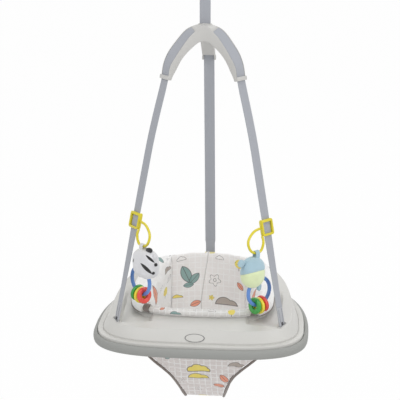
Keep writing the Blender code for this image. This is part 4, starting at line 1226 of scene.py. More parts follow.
@dataclass(frozen=True)
class Pile(Finish):
    """Short-pile toy cloth."""

    def dress(self, tree: Tree, shader: Node) -> None:
        """Add tufts, a soft sheen and a slight change of tone.

        Args:
            tree: The material's nodes.
            shader: Its surface node.
        """
        place = tree.add("TexCoord").outputs["Object"]
        tufts = tree.group("pile", {"Vector": place})
        base = tree.mix(tufts.outputs["Shade"], self.tone(0.84), self.tone(1.10))
        tree.feed_all(shader, {"Base Color": self.marked(tree, base, place),
                               "Sheen Weight": 0.5, "Sheen Roughness": 0.5})
        self.bump(tree, shader, tufts.outputs["Height"], 0.7, 0.0006)

    def marked(self, tree: Tree, base: object, place: object) -> object:
        """Return the colour with any marks on it."""
        return base


@dataclass(frozen=True)
class Steel(Finish):
    """Plated steel."""

    def dress(self, tree: Tree, shader: Node) -> None:
        """Add the plating's uneven shine and fine drawing marks.

        Args:
            tree: The material's nodes.
            shader: Its surface node.
        """
        place = tree.add("TexCoord").outputs["Object"]
        marks = tree.group("moulding", {"Vector": place, "Grain": 1400.0}).outputs
        tree.feed_all(shader, {
            "Base Color": tree.mix(marks["Mottle"], self.tone(0.9), self.tone(1.05)),
            "Roughness": tree.plus(tree.times(marks["Mottle"], 0.18), self.roughness),
            "Metallic": 1.0})
        self.bump(tree, shader, marks["Height"], 0.2, 0.00006)


@dataclass(frozen=True)
class Print:
    """One motif on the cloth: its kind, place, turn, size and colour."""

    kind: Motif
    u: float
    v: float
    turn_degrees: float
    size: float
    fill: Optional[Colour]
    line: Colour = (92, 88, 88)


@dataclass(frozen=True)
class PrintedCloth(Finish):
    """Woven cotton with a paler check and scattered motifs, drawn on the piece's own map."""

    check: Colour = (252, 252, 251)
    prints: tuple[Print, ...] = ()
    check_strength: float = 0.75
    seams: tuple[tuple[tuple[float, float], ...], ...] = ()
    # The seams' line colour: their thread and painted shade in their folds.
    thread: Colour = (150, 146, 142)

    def dress(self, tree: Tree, shader: Node) -> None:
        """Add the weave, the check and each motif in turn.

        Args:
            tree: The material's nodes.
            shader: Its surface node.
        """
        place = tree.add("TexCoord").outputs["UV"]
        weave = tree.group("cloth", {"Vector": place})
        base = tree.mix(weave.outputs["Shade"], self.tone(0.93), self.tone(1.06))
        line = tree.group("check", {"Vector": place}).outputs["Line"]
        colour = tree.mix(tree.times(line, self.check_strength), base, srgb(self.check))
        for item in self.prints:
            local = tree.group("motif_place", {"Vector": place, "Centre": (item.u, item.v, 0.0),
                                               "Angle": math.radians(item.turn_degrees), "Size": item.size})
            drawn = tree.group(item.kind.value, {"Place": local.outputs[0]})
            if item.fill:
                faded = tree.times(drawn.outputs["Fill"], 0.9)
                colour = tree.mix(faded, colour, srgb(item.fill))
            colour = tree.mix(tree.times(drawn.outputs["Line"], 0.8), colour, srgb(item.line))
        # Each seam is drawn as a darker line: its thread and painted shade in its fold.
        for seam in self.seams:
            for start, stop in zip(seam, seam[1:]):
                sewn = tree.group("seam", {"Vector": place, "Start": (*start, 0.0), "Stop": (*stop, 0.0)})
                colour = tree.mix(tree.times(sewn.outputs["Line"], 0.38), colour, srgb(self.thread))
        tree.feed_all(shader, {"Base Color": colour, "Sheen Weight": 0.2})
        self.bump(tree, shader, weave.outputs["Height"], 0.5, 0.00035)


@dataclass(frozen=True)
class StripedPile(Pile):
    """White pile with two dark leaf-shaped stripes and a small mark."""

    origin: Vector = Vector((0, 0, 0))
    right: Vector = Vector((1, 0, 0))
    up: Vector = Vector((0, 0, 1))
    stripe: Colour = (38, 37, 38)

    STRIPES = ((0.0020, -0.0108, -47, 0.0190), (0.0110, 0.0118, -49, 0.0140), (-0.0290, 0.0070, 10, 0.0050))

    def marked(self, tree: Tree, base: object, place: object) -> object:
        """Draw the stripes on a plane that faces the front of the set.

        Args:
            tree: The nodes it is drawn with.
            base: The pile's own colour.
            place: The place on the piece.

        Returns:
            The colour with its stripes.
        """
        off = tree.vector("SUBTRACT", place, tuple(self.origin))
        x = tree.vector("DOT_PRODUCT", off, tuple(self.right), out=1)
        z = tree.vector("DOT_PRODUCT", off, tuple(self.up), out=1)
        flat = tree.add("CombineXYZ", {0: x, 1: z}).outputs[0]
        colour = base
        for u, v, turn, size in self.STRIPES:
            local = tree.group("motif_place", {"Vector": flat, "Centre": (u, v, 0.0),
                                               "Angle": math.radians(turn), "Size": size})
            narrow = tree.vector("MULTIPLY", local.outputs[0], (2.3, 1.0, 1.0))
            drawn = tree.group("leaf", {"Place": narrow})
            colour = tree.mix(drawn.outputs["Fill"], colour, srgb(self.stripe))
        return colour


TRAY_WHITE = Moulded("tray_white", (208, 207, 203), 0.42)
BUMPER_GREY = Moulded("bumper_grey", (158, 159, 156), 0.62, grain=1300.0, relief=0.0002, specular=0.3)
HUB_WHITE = Moulded("hub_white", (201, 200, 197), 0.45)
BADGE_GREY = Moulded("badge_grey", (120, 120, 120), 0.40)
MOULDED_GREY = Moulded("moulded_grey", (150, 151, 153), 0.50)
RUBBER_GREY = Moulded("rubber_grey", (84, 84, 88), 0.80, grain=1500.0, relief=0.0003)
WEBBING_GREY = Webbing("webbing_grey", (173, 176, 183), 0.85)
WEBBING_PALE = Webbing("webbing_pale", (183, 185, 190), 0.80)
THREAD_GREY = Tape("thread_grey", (112, 115, 122), 0.80)
TAB_YELLOW = Tape("tab_yellow", (236, 226, 160), 0.90)
TAUPE = Tape("taupe_binding", (140, 130, 125), 0.90)
CLIP_YELLOW = Glossy("clip_yellow", (224, 208, 30), 0.30)
RING_BLUE = Glossy("ring_blue", (96, 142, 214), 0.30)
DISCS = {"red": Glossy("disc_red", (232, 74, 60), 0.28),
         "yellow": Glossy("disc_yellow", (240, 220, 50), 0.28),
         "green": Glossy("disc_green", (52, 160, 62), 0.28)}
PLUSH_WHITE = Pile("plush_white", (224, 224, 227), 0.95)
PLUSH_BLACK = Pile("plush_black", (44, 43, 45), 0.95)
PLUSH_BLUE = Pile("plush_blue", (174, 203, 216), 0.95)
PLUSH_GREEN = Pile("plush_green", (230, 242, 195), 0.95)
STEEL = Steel("steel", (196, 196, 198), 0.22)

TEAL = (128, 164, 160)
CORAL = (238, 150, 118)
YELLOW = (243, 222, 92)
SAND = (176, 164, 154)
CLOTH = (244, 241, 239)
PALE_CLOTH = (249, 248, 247)
ROLL_CLOTH = (228, 226, 223)
APRON_CLOTH = (226, 219, 216)

BACK_PRINTS = (
    Print(Motif.LEAF, -0.058, 0.05, -24, 0.024, TEAL), Print(Motif.LEAF, -0.038, 0.038, 42, 0.018, TEAL),
    Print(Motif.LEAF, -0.052, 0.022, 84, 0.013, TEAL), Print(Motif.BLOOM, 0.014, 0.034, 10, 0.017, None),
    Print(Motif.CLOUD, 0.026, 0.091, 4, 0.01, None), Print(Motif.BUSH, 0.076, 0.08, 0, 0.015, YELLOW),
    Print(Motif.HILL, 0.046, -0.016, 0, 0.026, SAND), Print(Motif.LEAF, -0.034, -0.026, 70, 0.014, CORAL),
    Print(Motif.BLOOM, 0.006, -0.012, 0, 0.008, YELLOW), Print(Motif.CLOUD, -0.07, 0.09, -8, 0.011, None),
    Print(Motif.LEAF, 0.08, 0.026, -40, 0.012, CORAL), Print(Motif.HILL, -0.05, -0.1, 0, 0.025, YELLOW),
    Print(Motif.CLOUD, 0.03, -0.11, 0, 0.02, TEAL), Print(Motif.HILL, -0.078, -0.004, 0, 0.012, YELLOW))
WING_PRINTS = (
    Print(Motif.LEAF, 0.02, -0.022, 20, 0.023, CORAL), Print(Motif.HILL, 0.118, -0.012, 0, 0.016, SAND),
    Print(Motif.CLOUD, -0.04, -0.006, -30, 0.015, None),
    Print(Motif.BUSH, 0.096, -0.064, 10, 0.015, YELLOW), Print(Motif.LEAF, 0.122, -0.04, 60, 0.012, None),
    Print(Motif.BLOOM, 0.07, 0.012, 0, 0.01, None), Print(Motif.LEAF, -0.07, 0.006, -20, 0.013, TEAL),
    Print(Motif.LEAF, 0.1, 0.018, -30, 0.012, TEAL), Print(Motif.LEAF, 0.034, -0.034, 64, 0.015, CORAL),
    Print(Motif.BLOOM, 0.07, -0.04, 0, 0.011, None))
ROLL_PRINTS = (
    Print(Motif.HILL, -0.055, 0.002, 0, 0.012, TEAL), Print(Motif.CLOUD, 0.03, 0.01, 5, 0.008, None),
    Print(Motif.BUSH, 0.076, 0.006, 0, 0.011, YELLOW), Print(Motif.BLOOM, -0.01, 0.012, 0, 0.005, None),
    Print(Motif.LEAF, -0.088, 0.01, 60, 0.007, CORAL))
APRON_PRINTS = (
    Print(Motif.CLOUD, -0.008, -0.112, 0, 0.027, YELLOW),
    Print(Motif.HILL, -0.008, -0.132, 0, 0.023, YELLOW), Print(Motif.HILL, 0.088, -0.092, 10, 0.02, SAND),
    Print(Motif.LEAF, 0.054, -0.142, -35, 0.016, CORAL), Print(Motif.LEAF, 0.04, -0.168, -70, 0.014, CORAL),
    Print(Motif.BLOOM, -0.012, -0.186, 0, 0.009, None), Print(Motif.LEAF, -0.08, -0.07, 30, 0.015, TEAL),
    Print(Motif.CLOUD, 0.05, -0.05, 0, 0.016, TEAL), Print(Motif.BLOOM, -0.05, -0.15, 0, 0.009, None),
    Print(Motif.HILL, 0.0, -0.222, 0, 0.015, YELLOW))


# Tray and bumper


@dataclass
class Tray:
    """The moulded tray: skirt, ledge, step, riser, deck with side recesses, rolled rim and badge plate."""

    wall: float = 0.0026
    skirt_depth: float = 0.012
    ledge_height: float = 0.0115
    ledge_width: float = 0.0135
    step_height: float = 0.0035
    groove_depth: float = 0.0013
    step_run: float = 0.0020
    riser_run: float = 0.0150
    riser_round: float = 0.0045
    deck_fall: float = 0.0100
    rim_round: float = 0.0080
    inner_skirt: float = 0.030
    rim_front: float = 0.0490
    rim_rear: float = 0.0930
    edge: float = 0.0125
    well_depth: float = 0.010
    steps: int = 240
    badge_size: tuple[float, float] = (0.0450, 0.0185)
    surface: Optional[BVHTree] = None

    WELL_ACROSS = (0.109, 0.119, 0.184, 0.194)
    WELL_ALONG = (-0.176, -0.168, -0.038, -0.006)
    SKIN_ROUNDS = (0.0016, 0.0004, 0.0003, 0.0003, 0.0006, 0.0009, 0.0024)
    UNDERSIDE_SHARES = (0.9, 0.78, 0.66, 0.54, 0.42, 0.30, 0.18)
    DECK_START_SHARE = 0.06

    def rim_height(self, y: float) -> float:
        """Return the rim's height, which climbs from the front to the back."""
        return self.rim_front + (self.rim_rear - self.rim_front) * eased(y, -0.120, 0.130)

    def well_at(self, x: float, y: float) -> float:
        """Return how far the deck is sunk beside the seat.

        Args:
            x: The place's X.
            y: The place's Y.

        Returns:
            The depth below the deck.
        """
        across = eased(abs(x), *self.WELL_ACROSS[:2]) * (1 - eased(abs(x), *self.WELL_ACROSS[2:]))
        along = eased(y, *self.WELL_ALONG[:2]) * (1 - eased(y, *self.WELL_ALONG[2:]))
        return self.well_depth * across * along

    def section(self, angle: float) -> list[Vector]:
        """Return the tray's closed section at an angle, skin first and then its underside.

        Args:
            angle: Angle round the tray.

        Returns:
            The section's points in order.
        """
        outer, inner = OUTLINE.point(angle), OPENING.point(angle)
        inward = (inner - outer).normalized()
        reach = (inner - outer).length
        ledge = self.edge + self.ledge_width
        riser = ledge + self.step_run + self.riser_run
        rim = self.rim_height(inner.y)
        deck_edge = rim - self.deck_fall
        start = riser + self.riser_round
        run = self.step_run

        def at(distance: float, height: float) -> Vector:
            """Return a point of the section."""
            point = outer + inward * distance
            return Vector((point.x, point.y, height))

        def deck(share: float, drop: float) -> Vector:
            """Return a point of the deck.

            Args:
                share: Share of the way across the deck.
                drop: How far below the deck it lies.

            Returns:
                The point.
            """
            distance = start + (reach - self.rim_round - start) * share
            point = outer + inward * distance
            height = rim - self.deck_fall + self.deck_fall * math.sin(share * math.pi / 2)
            return at(distance, height - self.well_at(point.x, point.y) - drop)

        ledge_top, step_top = self.ledge_height, self.ledge_height + self.step_height
        groove, first = ledge_top - self.groove_depth, self.DECK_START_SHARE
        corners = [at(self.edge, -self.skirt_depth), at(self.edge, ledge_top), at(ledge - 0.0008, ledge_top),
                   at(ledge - 0.0002, groove), at(ledge + 0.0011, groove),
                   at(ledge + 0.0017, step_top), at(ledge + run * 1.3, step_top),
                   at(riser + self.riser_round * 0.3, deck_edge), deck(first, 0)]
        skin = [corners[0]]
        for i, radius in enumerate(self.SKIN_ROUNDS, 1):
            skin += soften(corners[i - 1:i + 2], radius, 5)[5:10]
        shares = [first + (1 - first) * k / 22 for k in range(23)]
        skin += [deck(share, 0) for share in shares]
        for k in range(1, 7):
            turn = math.pi / 2 * k / 6
            skin.append(at(reach - self.rim_round * (1 - math.sin(turn)),
                           rim - self.rim_round * (1 - math.cos(turn))))
        skin += [at(reach, rim - self.inner_skirt * 0.6), at(reach, rim - self.inner_skirt)]
        wall = self.wall
        under = [at(reach - wall, rim - self.inner_skirt), at(reach - wall, rim - self.rim_round),
                 at(reach - self.rim_round, rim - wall - run / 2)]
        under += [deck(share, wall) for share in self.UNDERSIDE_SHARES]
        under += [deck(first, wall + run / 2), at(riser + run, deck_edge - self.step_height - wall),
                  at(ledge + run + wall, step_top - wall), at(ledge + run, ledge_top - wall),
                  at(self.edge + wall, ledge_top - wall - run / 2), at(self.edge + wall, -self.skirt_depth)]
        return skin + under

    def build(self, straps: "LowerStraps") -> None:
        """Make the tray with its strap slots and its badge plate.

        Args:
            straps: The straps that the slots are cut for.
        """
        tray = Bench.loft("tray_shell", [self.section(angle) for angle in turns(self.steps)], closed=True)
        self.surface = BVHTree.FromObject(tray, bpy.context.evaluated_depsgraph_get())
        for side in Side:
            Bench.combine(tray, "DIFFERENCE", straps.slot_cutter(side))
        Berth("seat", "tray_white", ("tray",), smooth_degrees=34).take(tray, TRAY_WHITE.material())
        self._badge()

    def height(self, x: float, y: float) -> float:
        """Return the height of the tray's skin over a plan point."""
        return self.surface.ray_cast(Vector((x, y, 0.3)), -UP)[0].z

    def _badge(self) -> None:
        """Make the plain oval plate on the riser, with its darker rim."""
        wide, tall = self.badge_size
        place, normal = self._riser_spot(-0.0055)
        turn = Matrix((ACROSS, normal.cross(ACROSS), normal)).transposed().to_4x4()
        oval = [Vector((wide / 2 * math.cos(a), tall / 2 * math.sin(a), 0)) for a in turns(64)]
        plate = Bench.slab("badge_plate", [point * 0.94 for point in oval], 0.0018, 0.0005)
        plate.matrix_world = Matrix.Translation(place + normal * 0.0002) @ turn
        Berth("seat", "tray_white").take(plate, TRAY_WHITE.material())
        rim = Bench.tube("badge_rim", oval, 0.00075, 10, closed=True)
        rim.matrix_world = Matrix.Translation(place + normal * 0.0007) @ turn
        Berth("seat", "bumper_grey").take(rim, BADGE_GREY.material())

    def _riser_spot(self, x: float) -> tuple[Vector, Vector]:
        """Return a place on the lower part of the front riser at an X and its normal.

        Args:
            x: The X that is asked about.

        Returns:
            The place and the normal.
        """
        y = OUTLINE.y_at(x, False) + self.edge + self.ledge_width + self.step_run + self.riser_run / 2
        z = (self.ledge_height + self.step_height + self.rim_front - self.deck_fall) / 2 - 0.006
        aim = Vector((x, y, z)) - Vector((x, -0.4, 0.2))
        hit = self.surface.ray_cast(Vector((x, -0.4, 0.2)), aim.normalized())
        return hit[0], Vector((0, hit[1].y, hit[1].z)).normalized()


@dataclass
class Bumper:
    """The soft ring that closes round the tray's skirt."""

    thickness: float = 0.0122
    height: float = 0.0355
    depth_shares: tuple[float, ...] = (1.0, 0.88, 0.62, 0.32, 0.10, 0.0, 0.0, 0.04, 0.20, 0.52, 0.82, 1.0)
    height_shares: tuple[float, ...] = (0.20, 0.31, 0.33, 0.25, 0.06, -0.18, -0.42, -0.66, -0.88, -0.99, -1.0,
                                        -0.92)

    def build(self) -> None:
        """Sweep the ring's section round the tray's outline."""
        rings = []
        for angle in turns(144):
            outer = OUTLINE.point(angle)
            inward = (OPENING.point(angle) - outer).normalized()
            rings.append([outer + inward * depth * self.thickness + UP * height * self.height / 2
                          for depth, height in zip(self.depth_shares, self.height_shares)])
        ring = Bench.loft("bumper_ring", rings, closed=True)
        Bench.apply(ring, "SUBSURF", levels=1, render_levels=1)
        Berth("seat", "bumper_grey", ("bumper",), smooth_degrees=50).take(ring, BUMPER_GREY.material())


# Hub and straps


@dataclass(frozen=True)
class Station:
    """One place along a hub arm."""

    outer: Vector
    inner: Vector
    across: Vector
    outward: Vector
    along: Vector
    share: float
    web: float


@dataclass
class Hub:
    """The three-armed hub: a swept front arch, a rear arm and a keeper at each tip."""

    top: float = 0.722
    arm_width: float = 0.0310
    half_span: float = 0.0890
    centre_y: float = -0.0190
    sweep: float = 0.0420
    arch_height: float = 0.1215
    rear_height: float = 0.1110
    rear_reach: float = 0.1180
    rear_start: float = -0.012
    channel_depth: float = 0.0024
    channel_start: float = 0.30
    keeper_height: float = 0.0098
    keeper_thickness: float = 0.0034
    webbing_half: float = 0.0127
    lean_degrees: float = 20.0
    front_half: float = 0.0119

    FRONT_OUTER = ((0, 0), (0.158, 0.026), (0.317, 0.100), (0.454, 0.183), (0.624, 0.338), (0.803, 0.525),
                   (0.942, 0.735), (1, 1))
    FRONT_INNER = ((0, 0.305), (0.174, 0.333), (0.364, 0.398), (0.534, 0.498), (0.680, 0.626), (0.803, 0.790),
                   (0.865, 0.914), (0.916, 1.017))
    REAR_OUTER = ((0, 0), (0.15, 0.028), (0.30, 0.11), (0.43, 0.20), (0.59, 0.37), (0.765, 0.575),
                  (0.91, 0.79), (1, 1))
    REAR_INNER = ((0, 0.333), (0.165, 0.365), (0.345, 0.435), (0.51, 0.545), (0.67, 0.685), (0.82, 0.845),
                  (0.905, 0.945), (0.938, 1.015))
    CUTS = (("hub_slot", (-0.0133, -0.0014, -0.0203), (0.0133, 0.0014, 0.004)),
            ("hub_window", (-0.0127, 0.085, -0.1180), (0.0127, 0.1178, -0.0985)))

    def place(self, side: Side, share: float, height: float) -> tuple[Vector, Vector]:
        """Return a point over an arm's middle line and the level direction across the arm.

        Args:
            side: The arm's side.
            share: Share of the way to its tip.
            height: The point's height.

        Returns:
            The point and the direction.
        """
        if side is Side.REAR:
            run = self.rear_start + (self.rear_reach - self.rear_start) * share
            return Vector((0, run, height)), Vector((1, 0, 0))
        share *= side.value
        along = Vector((self.half_span, -2 * self.sweep * share, 0)).normalized()
        return (Vector((self.half_span * share, self.centre_y - self.sweep * share * share, height)),
                Vector((-along.y, along.x, 0)))

    def stations(self, side: Side, steps: int = 7) -> list[Station]:
        """Return an arm's stations from the hub's middle to its tip.

        Args:
            side: The arm's side.
            steps: The steps between two drawn points.

        Returns:
            The stations.
        """
        rear = side is Side.REAR
        outer = spline([(*pair, 0) for pair in (self.REAR_OUTER if rear else self.FRONT_OUTER)], steps)
        inner = spline([(*pair, 0) for pair in (self.REAR_INNER if rear else self.FRONT_INNER)], steps)
        fall = self.rear_height if rear else self.arch_height
        outers = [self.place(side, o.x, self.top - fall * o.y) for o in outer]
        made = []
        for i, (o, n) in enumerate(zip(outer, inner)):
            place, across = outers[i]
            along = (outers[min(i + 1, len(outers) - 1)][0] - outers[max(i - 1, 0)][0]).normalized()
            outward = along.cross(across).normalized()
            outward = outward if outward.z > 0 else -outward
            low = self.place(side, n.x, self.top - fall * n.y)[0]
            lean = math.radians(self.lean_degrees) * eased(o.x, 0.1, 0.4) * (1 - eased(o.x, 0.8, 1.0))
            if side is not Side.REAR:
                turn = Matrix.Rotation(lean * side.value, 3, along)
                across, outward = turn @ across, turn @ outward
            narrow = 0.0 if rear else eased(o.x, 0.3, 0.9)
            web = self.webbing_half + (self.front_half - self.webbing_half) * narrow
            made.append(Station(place, low, across, outward, along, o.x, web))
        return made

    def section(self, station: Station) -> list[Vector]:
        """Return a softened beam section with the webbing's channel in its outer face.

        Args:
            station: The station.

        Returns:
            The section's points in order.
        """
        half = station.across * (self.arm_width / 2 + (station.web - self.webbing_half) * 2)
        lip = station.across * (station.web + 0.0006)
        share = eased(station.share, self.channel_start - 0.02, self.channel_start)
        depth = station.outward * (CLOSE_GAP + (self.channel_depth - CLOSE_GAP) * share)
        corners = [station.inner - half, station.outer - half, station.outer - lip,
                   station.outer - lip - depth, station.outer + lip - depth, station.outer + lip,
                   station.outer + half, station.inner + half]
        return soften(corners, 0.0022, 4)

    def build(self) -> None:
        """Make the arms, unite them, and cut the top strap's slot and the rear arm's window."""
        left, right = ([self.section(s) for s in self.stations(side)] for side in (Side.LEFT, Side.RIGHT))
        hub = Bench.loft("hub_arch", left[:0:-1] + right)
        rear = Bench.loft("hub_rear_arm", [self.section(s) for s in self.stations(Side.REAR)])
        for arm, side in ((hub, Side.LEFT), (hub, Side.RIGHT), (rear, Side.REAR)):
            Bench.combine(arm, "UNION", self._keeper(self.stations(side)[-1]))
        Bench.combine(hub, "UNION", rear)
        lift = UP * self.top
        slot, window = (Bench.block(name, lift + Vector(low), lift + Vector(high))
                        for name, low, high in self.CUTS)
        Bench.combine(hub, "DIFFERENCE", slot, window)
        hub.name = hub.data.name = "hub_body"
        Berth("seat", "hub_white", ("hub",), smooth_degrees=48).take(hub, HUB_WHITE.material())

    def _keeper(self, tip: Station) -> Object:
        """Return the bridge over an arm's tip, under which the strap leaves.

        Args:
            tip: The arm's last station.

        Returns:
            The keeper.
        """
        wide = self.arm_width / 2 + 0.0012 + (tip.web - self.webbing_half) * 2
        lip = tip.web + 0.0010
        base = -self.channel_depth - self.keeper_thickness
        thick = self.keeper_thickness
        outline = [(-wide, base), (-wide, thick), (wide, thick), (wide, base), (lip, base), (lip, CLOSE_GAP),
                   (-lip, CLOSE_GAP), (-lip, base)]
        rings = []
        for run, grow in ((-self.keeper_height, 0.94), (-self.keeper_height * 0.9, 1.0), (-0.0018, 1.0),
                          (-0.0006, 0.96)):
            ring = [tip.outer + tip.across * offset * (grow if abs(offset) == wide else 1)
                    + tip.outward * lift + tip.along * run for offset, lift in outline]
            rings.append(soften(ring, 0.0009))
        return Bench.loft("keeper", rings)


@dataclass
class LowerStraps:
    """The three straps from the hub to the tray, with their sewn feet, collars and anchors.

    The hub is the one that shows; hang is the plainer one whose tips the straps' straight lines start from.
    """

    hub: Hub
    hang: Hub
    settle: float = 0.165
    width: float = 0.0254
    thickness: float = 0.0016
    foot_length: float = 0.045
    foot_thickness: float = 0.0036
    anchor_radius: float = 0.0032
    twist_degrees: float = 18.0
    foot_steps: int = 24
    deck_depth: float = 0.0052
    rod_half: float = 0.017
    stitch_radius: float = 0.00042
    # Half sizes and height of the small dark block that stands in for shade at a strap's foot: painted shade.
    shade_block_half: tuple[float, float, float] = (0.0036, 0.0007, 0.0034)
    shade_block_lift: float = 0.0065
    collar_inner: tuple[float, float, float] = (0.0278, 0.0084, 0.0014)
    collar_outer: tuple[float, float, float] = (0.0320, 0.0110, 0.0034)

    FOOT_PLAN = {Side.LEFT: (-0.195, -0.163), Side.REAR: (0.0, 0.171), Side.RIGHT: (0.195, -0.163)}

    def foot(self, side: Side) -> Vector:
        """Return where a strap meets the deck, from the CAD collar that sits there.

        Args:
            side: The strap's side.

        Returns:
            The place.
        """
        x, y = self.FOOT_PLAN[side]
        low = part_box(f"slot_collar_{side.word}")[0].z - SEAT_SHIFT.z
        return Vector((x, y, low + 0.0002))

    def channel(self, side: Side, hub: Hub) -> list[tuple[Vector, Vector, Vector]]:
        """Return the strap's centre, width direction and face direction inside a hub's channel.

        Args:
            side: The strap's side.
            hub: The hub it lies in.

        Returns:
            The three vectors of each station.
        """
        lift = hub.channel_depth - CLOSE_GAP - self.thickness / 2
        return [(s.outer - s.outward * lift, s.across, s.outward) for s in hub.stations(side)
                if s.share >= hub.channel_start]

    def line(self, side: Side) -> tuple[Vector, Vector, Vector, Vector]:
        """Return the strap's last place on the hub, its way down, and its width and face directions.

        Args:
            side: The strap's side.

        Returns:
            The four vectors.
        """
        tip, across, _ = self.channel(side, self.hang)[-1]
        along = (self.foot(side) - tip).normalized()
        level = Vector((along.y, -along.x, 0)).normalized()
        level = level if level.dot(across) > 0 else -level
        face = along.cross(level).normalized()
        return tip, along, level, face if face.z > 0 else -face

    def upright(self, side: Side) -> Matrix:
        """Return the upright frame of a front strap: X across it and Y away from the viewer.

        Args:
            side: The strap's side.

        Returns:
            The frame's turn.
        """
        if side is Side.REAR:
            return Matrix.Identity(3)
        level = self.line(side)[2] * side.value
        return Matrix((level, UP.cross(level), UP)).transposed()

    def foot_upright(self, side: Side) -> Matrix:
        """Return the upright frame turned to the strap's foot, which twists on its way down."""
        return Matrix.Rotation(side.value * math.radians(self.twist_degrees), 3, "Z") @ self.upright(side)

    def width_of(self, side: Side) -> float:
        """Return a strap's width."""
        return self.width if side is Side.REAR else 2 * self.hub.front_half

    def slot_cutter(self, side: Side) -> Object:
        """Return the cutter of a strap's slot through the deck.

        Args:
            side: The strap's side.

        Returns:
            The cutter.
        """
        half = self.width / 2 + 0.0006
        deep = self.foot_thickness / 2 + 0.0012
        cutter = Bench.block("slot", (-half, -deep, -0.024), (half, deep, 0.016))
        cutter.matrix_world = Matrix.Translation(self.foot(side)) @ self.foot_upright(side).to_4x4()
        return cutter

    @staticmethod
    def band(name: str, stations: Sequence[tuple[Vector, Vector, Vector]], width: Callable[[int], float],
             thickness: Callable[[int], float]) -> Object:
        """Loft a flat band with rounded edges.

        Args:
            name: The new object's name.
            stations: Centre, width direction and face direction at each place.
            width: Gives the band's width at a station.
            thickness: Gives its thickness at a station.

        Returns:
            The band.
        """
        rings = []
        for i, (centre, across, face) in enumerate(stations):
            half, thick = width(i) / 2, thickness(i) / 2
            ring = []
            for x, y in ((-0.97, 1), (-0.5, 1), (0, 1), (0.5, 1), (0.97, 1), (1, 0.4), (1, -0.4), (0.97, -1),
                         (0.5, -1), (0, -1), (-0.5, -1), (-0.97, -1), (-1, -0.4), (-1, 0.4)):
                ring.append(centre + across * half * x + face * thick * y)
            rings.append(ring)
        return Bench.loft(name, rings)

    def build(self, tray: Tray) -> None:
        """Make each strap with its foot, stitching, collar and anchor.

        Args:
            tray: The tray that the straps are tied to.
        """
        for side in Side:
            tip, along, level, face = self.line(side)
            foot = self.foot(side)
            length = (foot - tip).length
            stations = self.channel(side, self.hub)
            off = stations[-1][0] - tip
            low = off.dot(along) + self.hub.keeper_height
            off -= along * off.dot(along)
            first = stations[0]
            lead = (stations[1][0] - first[0]).normalized() * 0.002
            stations.insert(0, (first[0] - first[2] * RUNNING_GAP - lead, first[1], first[2]))
            stop = length - self.foot_length - CLOSE_GAP
            count = 26
            for k in range(1, count + 1):
                run = low + (stop - low) * k / count
                aside = off * (1 - eased(run - low, -self.settle, self.settle)) * 2
                turn = self._twist(side, along, eased(run / length, 0.45, 0.92))
                stations.append((tip + along * run + aside, turn @ level, turn @ face))
            webs = [s.web for s in self.hub.stations(side) if s.share >= self.hub.channel_start]
            strap = self.band(f"webbing_{side.word}", stations,
                              lambda i: 2 * webs[min(max(i - 1, 0), len(webs) - 1)], lambda i: self.thickness)
            Berth("seat", "webbing_grey", (f"strap_{side.word}",)).take(strap, WEBBING_GREY.material())
            turn = self._twist(side, along, 1.0)
            self._foot(side, foot, along, turn @ level, turn @ face)
            self._collar(side, foot, tray)

    def _twist(self, side: Side, along: Vector, share: float) -> Matrix:
        """Return a strap's turn about its own line after a share of its twist."""
        return Matrix.Rotation(side.value * math.radians(self.twist_degrees) * share, 3, -along)

    def _foot(self, side: Side, foot: Vector, along: Vector, level: Vector, face: Vector) -> None:
        """Make the folded and sewn end of a strap, its stitching and the rod that holds it.

        Args:
            side: The strap's side.
            foot: Where it meets the deck.
            along: The way down the strap.
            level: Its width direction.
            face: The way its face looks.
        """
        upright = Vector((face.x, face.y, 0)).normalized()
        path = []
        steps = self.foot_steps
        for k in range(steps + 1):
            share = k / steps
            path.append((foot - along * (self.foot_length * (1 - share)), level, face))
        below = foot - UP * (self.deck_depth + self.anchor_radius)
        for share in (0.15, 0.5, 1.0):
            path.append((foot.lerp(below, share), level, face.lerp(upright, share).normalized()))
        last = len(path) - 1

        def width(i: int) -> float:
            """Return the foot's width, a tenth less below its top."""
            share = i / last
            return self.width_of(side) * (1 - 0.10 * eased(share, 0.0, 0.2))

        def thickness(i: int) -> float:
            """Return the foot's thickness, fullest about its middle."""
            share = i / last
            return self.foot_thickness * (0.72 + 0.28 * math.sin(math.pi * min(1.0, share * 1.15)))

        doubled = self.band(f"webbing_foot_{side.word}", path, width, thickness)
        finish = WEBBING_GREY if side is Side.REAR else WEBBING_PALE
        Berth("seat", "webbing_grey", (f"strap_foot_{side.word}",)).take(doubled, finish.material())
        # A small dark block on the foot's face stands in for the shade at the strap's foot: painted shade.
        low = [-size for size in self.shade_block_half]
        shade_block = Bench.block(f"foot_eyelet_{side.word}", low, self.shade_block_half, 0.0006)
        turn = Matrix((level, -face, along)).transposed()
        spot = foot - along * self.shade_block_lift + face * (self.foot_thickness / 2 + 0.0004)
        shade_block.matrix_world = Matrix.Translation(spot) @ turn.to_4x4()
        Berth("seat", "rubber_grey").take(shade_block, RUBBER_GREY.material())
        threads = []
        for lane in (-0.30, 0.30):
            for k in range(2, 19):
                share, after = k / steps, (k + 0.8) / steps
                swing = 0.10 if k % 2 else -0.10
                ends = []
                for place, offset in ((share, lane + swing), (after, lane - swing)):
                    station = int(place * steps)
                    centre = foot - along * (self.foot_length * (1 - place))
                    half, thick = width(station) / 2, thickness(station) / 2
                    ends.append(centre + level * offset * 2 * half + face * (thick + 0.0001))
                middle = (ends[0] + ends[1]) / 2 + face * 0.0002
                threads.append(Bench.tube("thread", [ends[0], middle, ends[1]], self.stitch_radius, 6))
        sewn = Bench.joined(f"foot_stitching_{side.word}", threads)
        Berth("seat", "webbing_grey").take(sewn, THREAD_GREY.material())
        centre = below - UP * (self.anchor_radius + CLOSE_GAP)
        rod_path = [centre + level * self.rod_half * (k / 8 - 1) for k in range(17)]
        rod = Bench.tube(f"anchor_rod_{side.word}", rod_path, self.anchor_radius, 20)
        Berth("seat", "moulded_grey", (f"strap_anchor_{side.word}",)).take(rod, MOULDED_GREY.material())

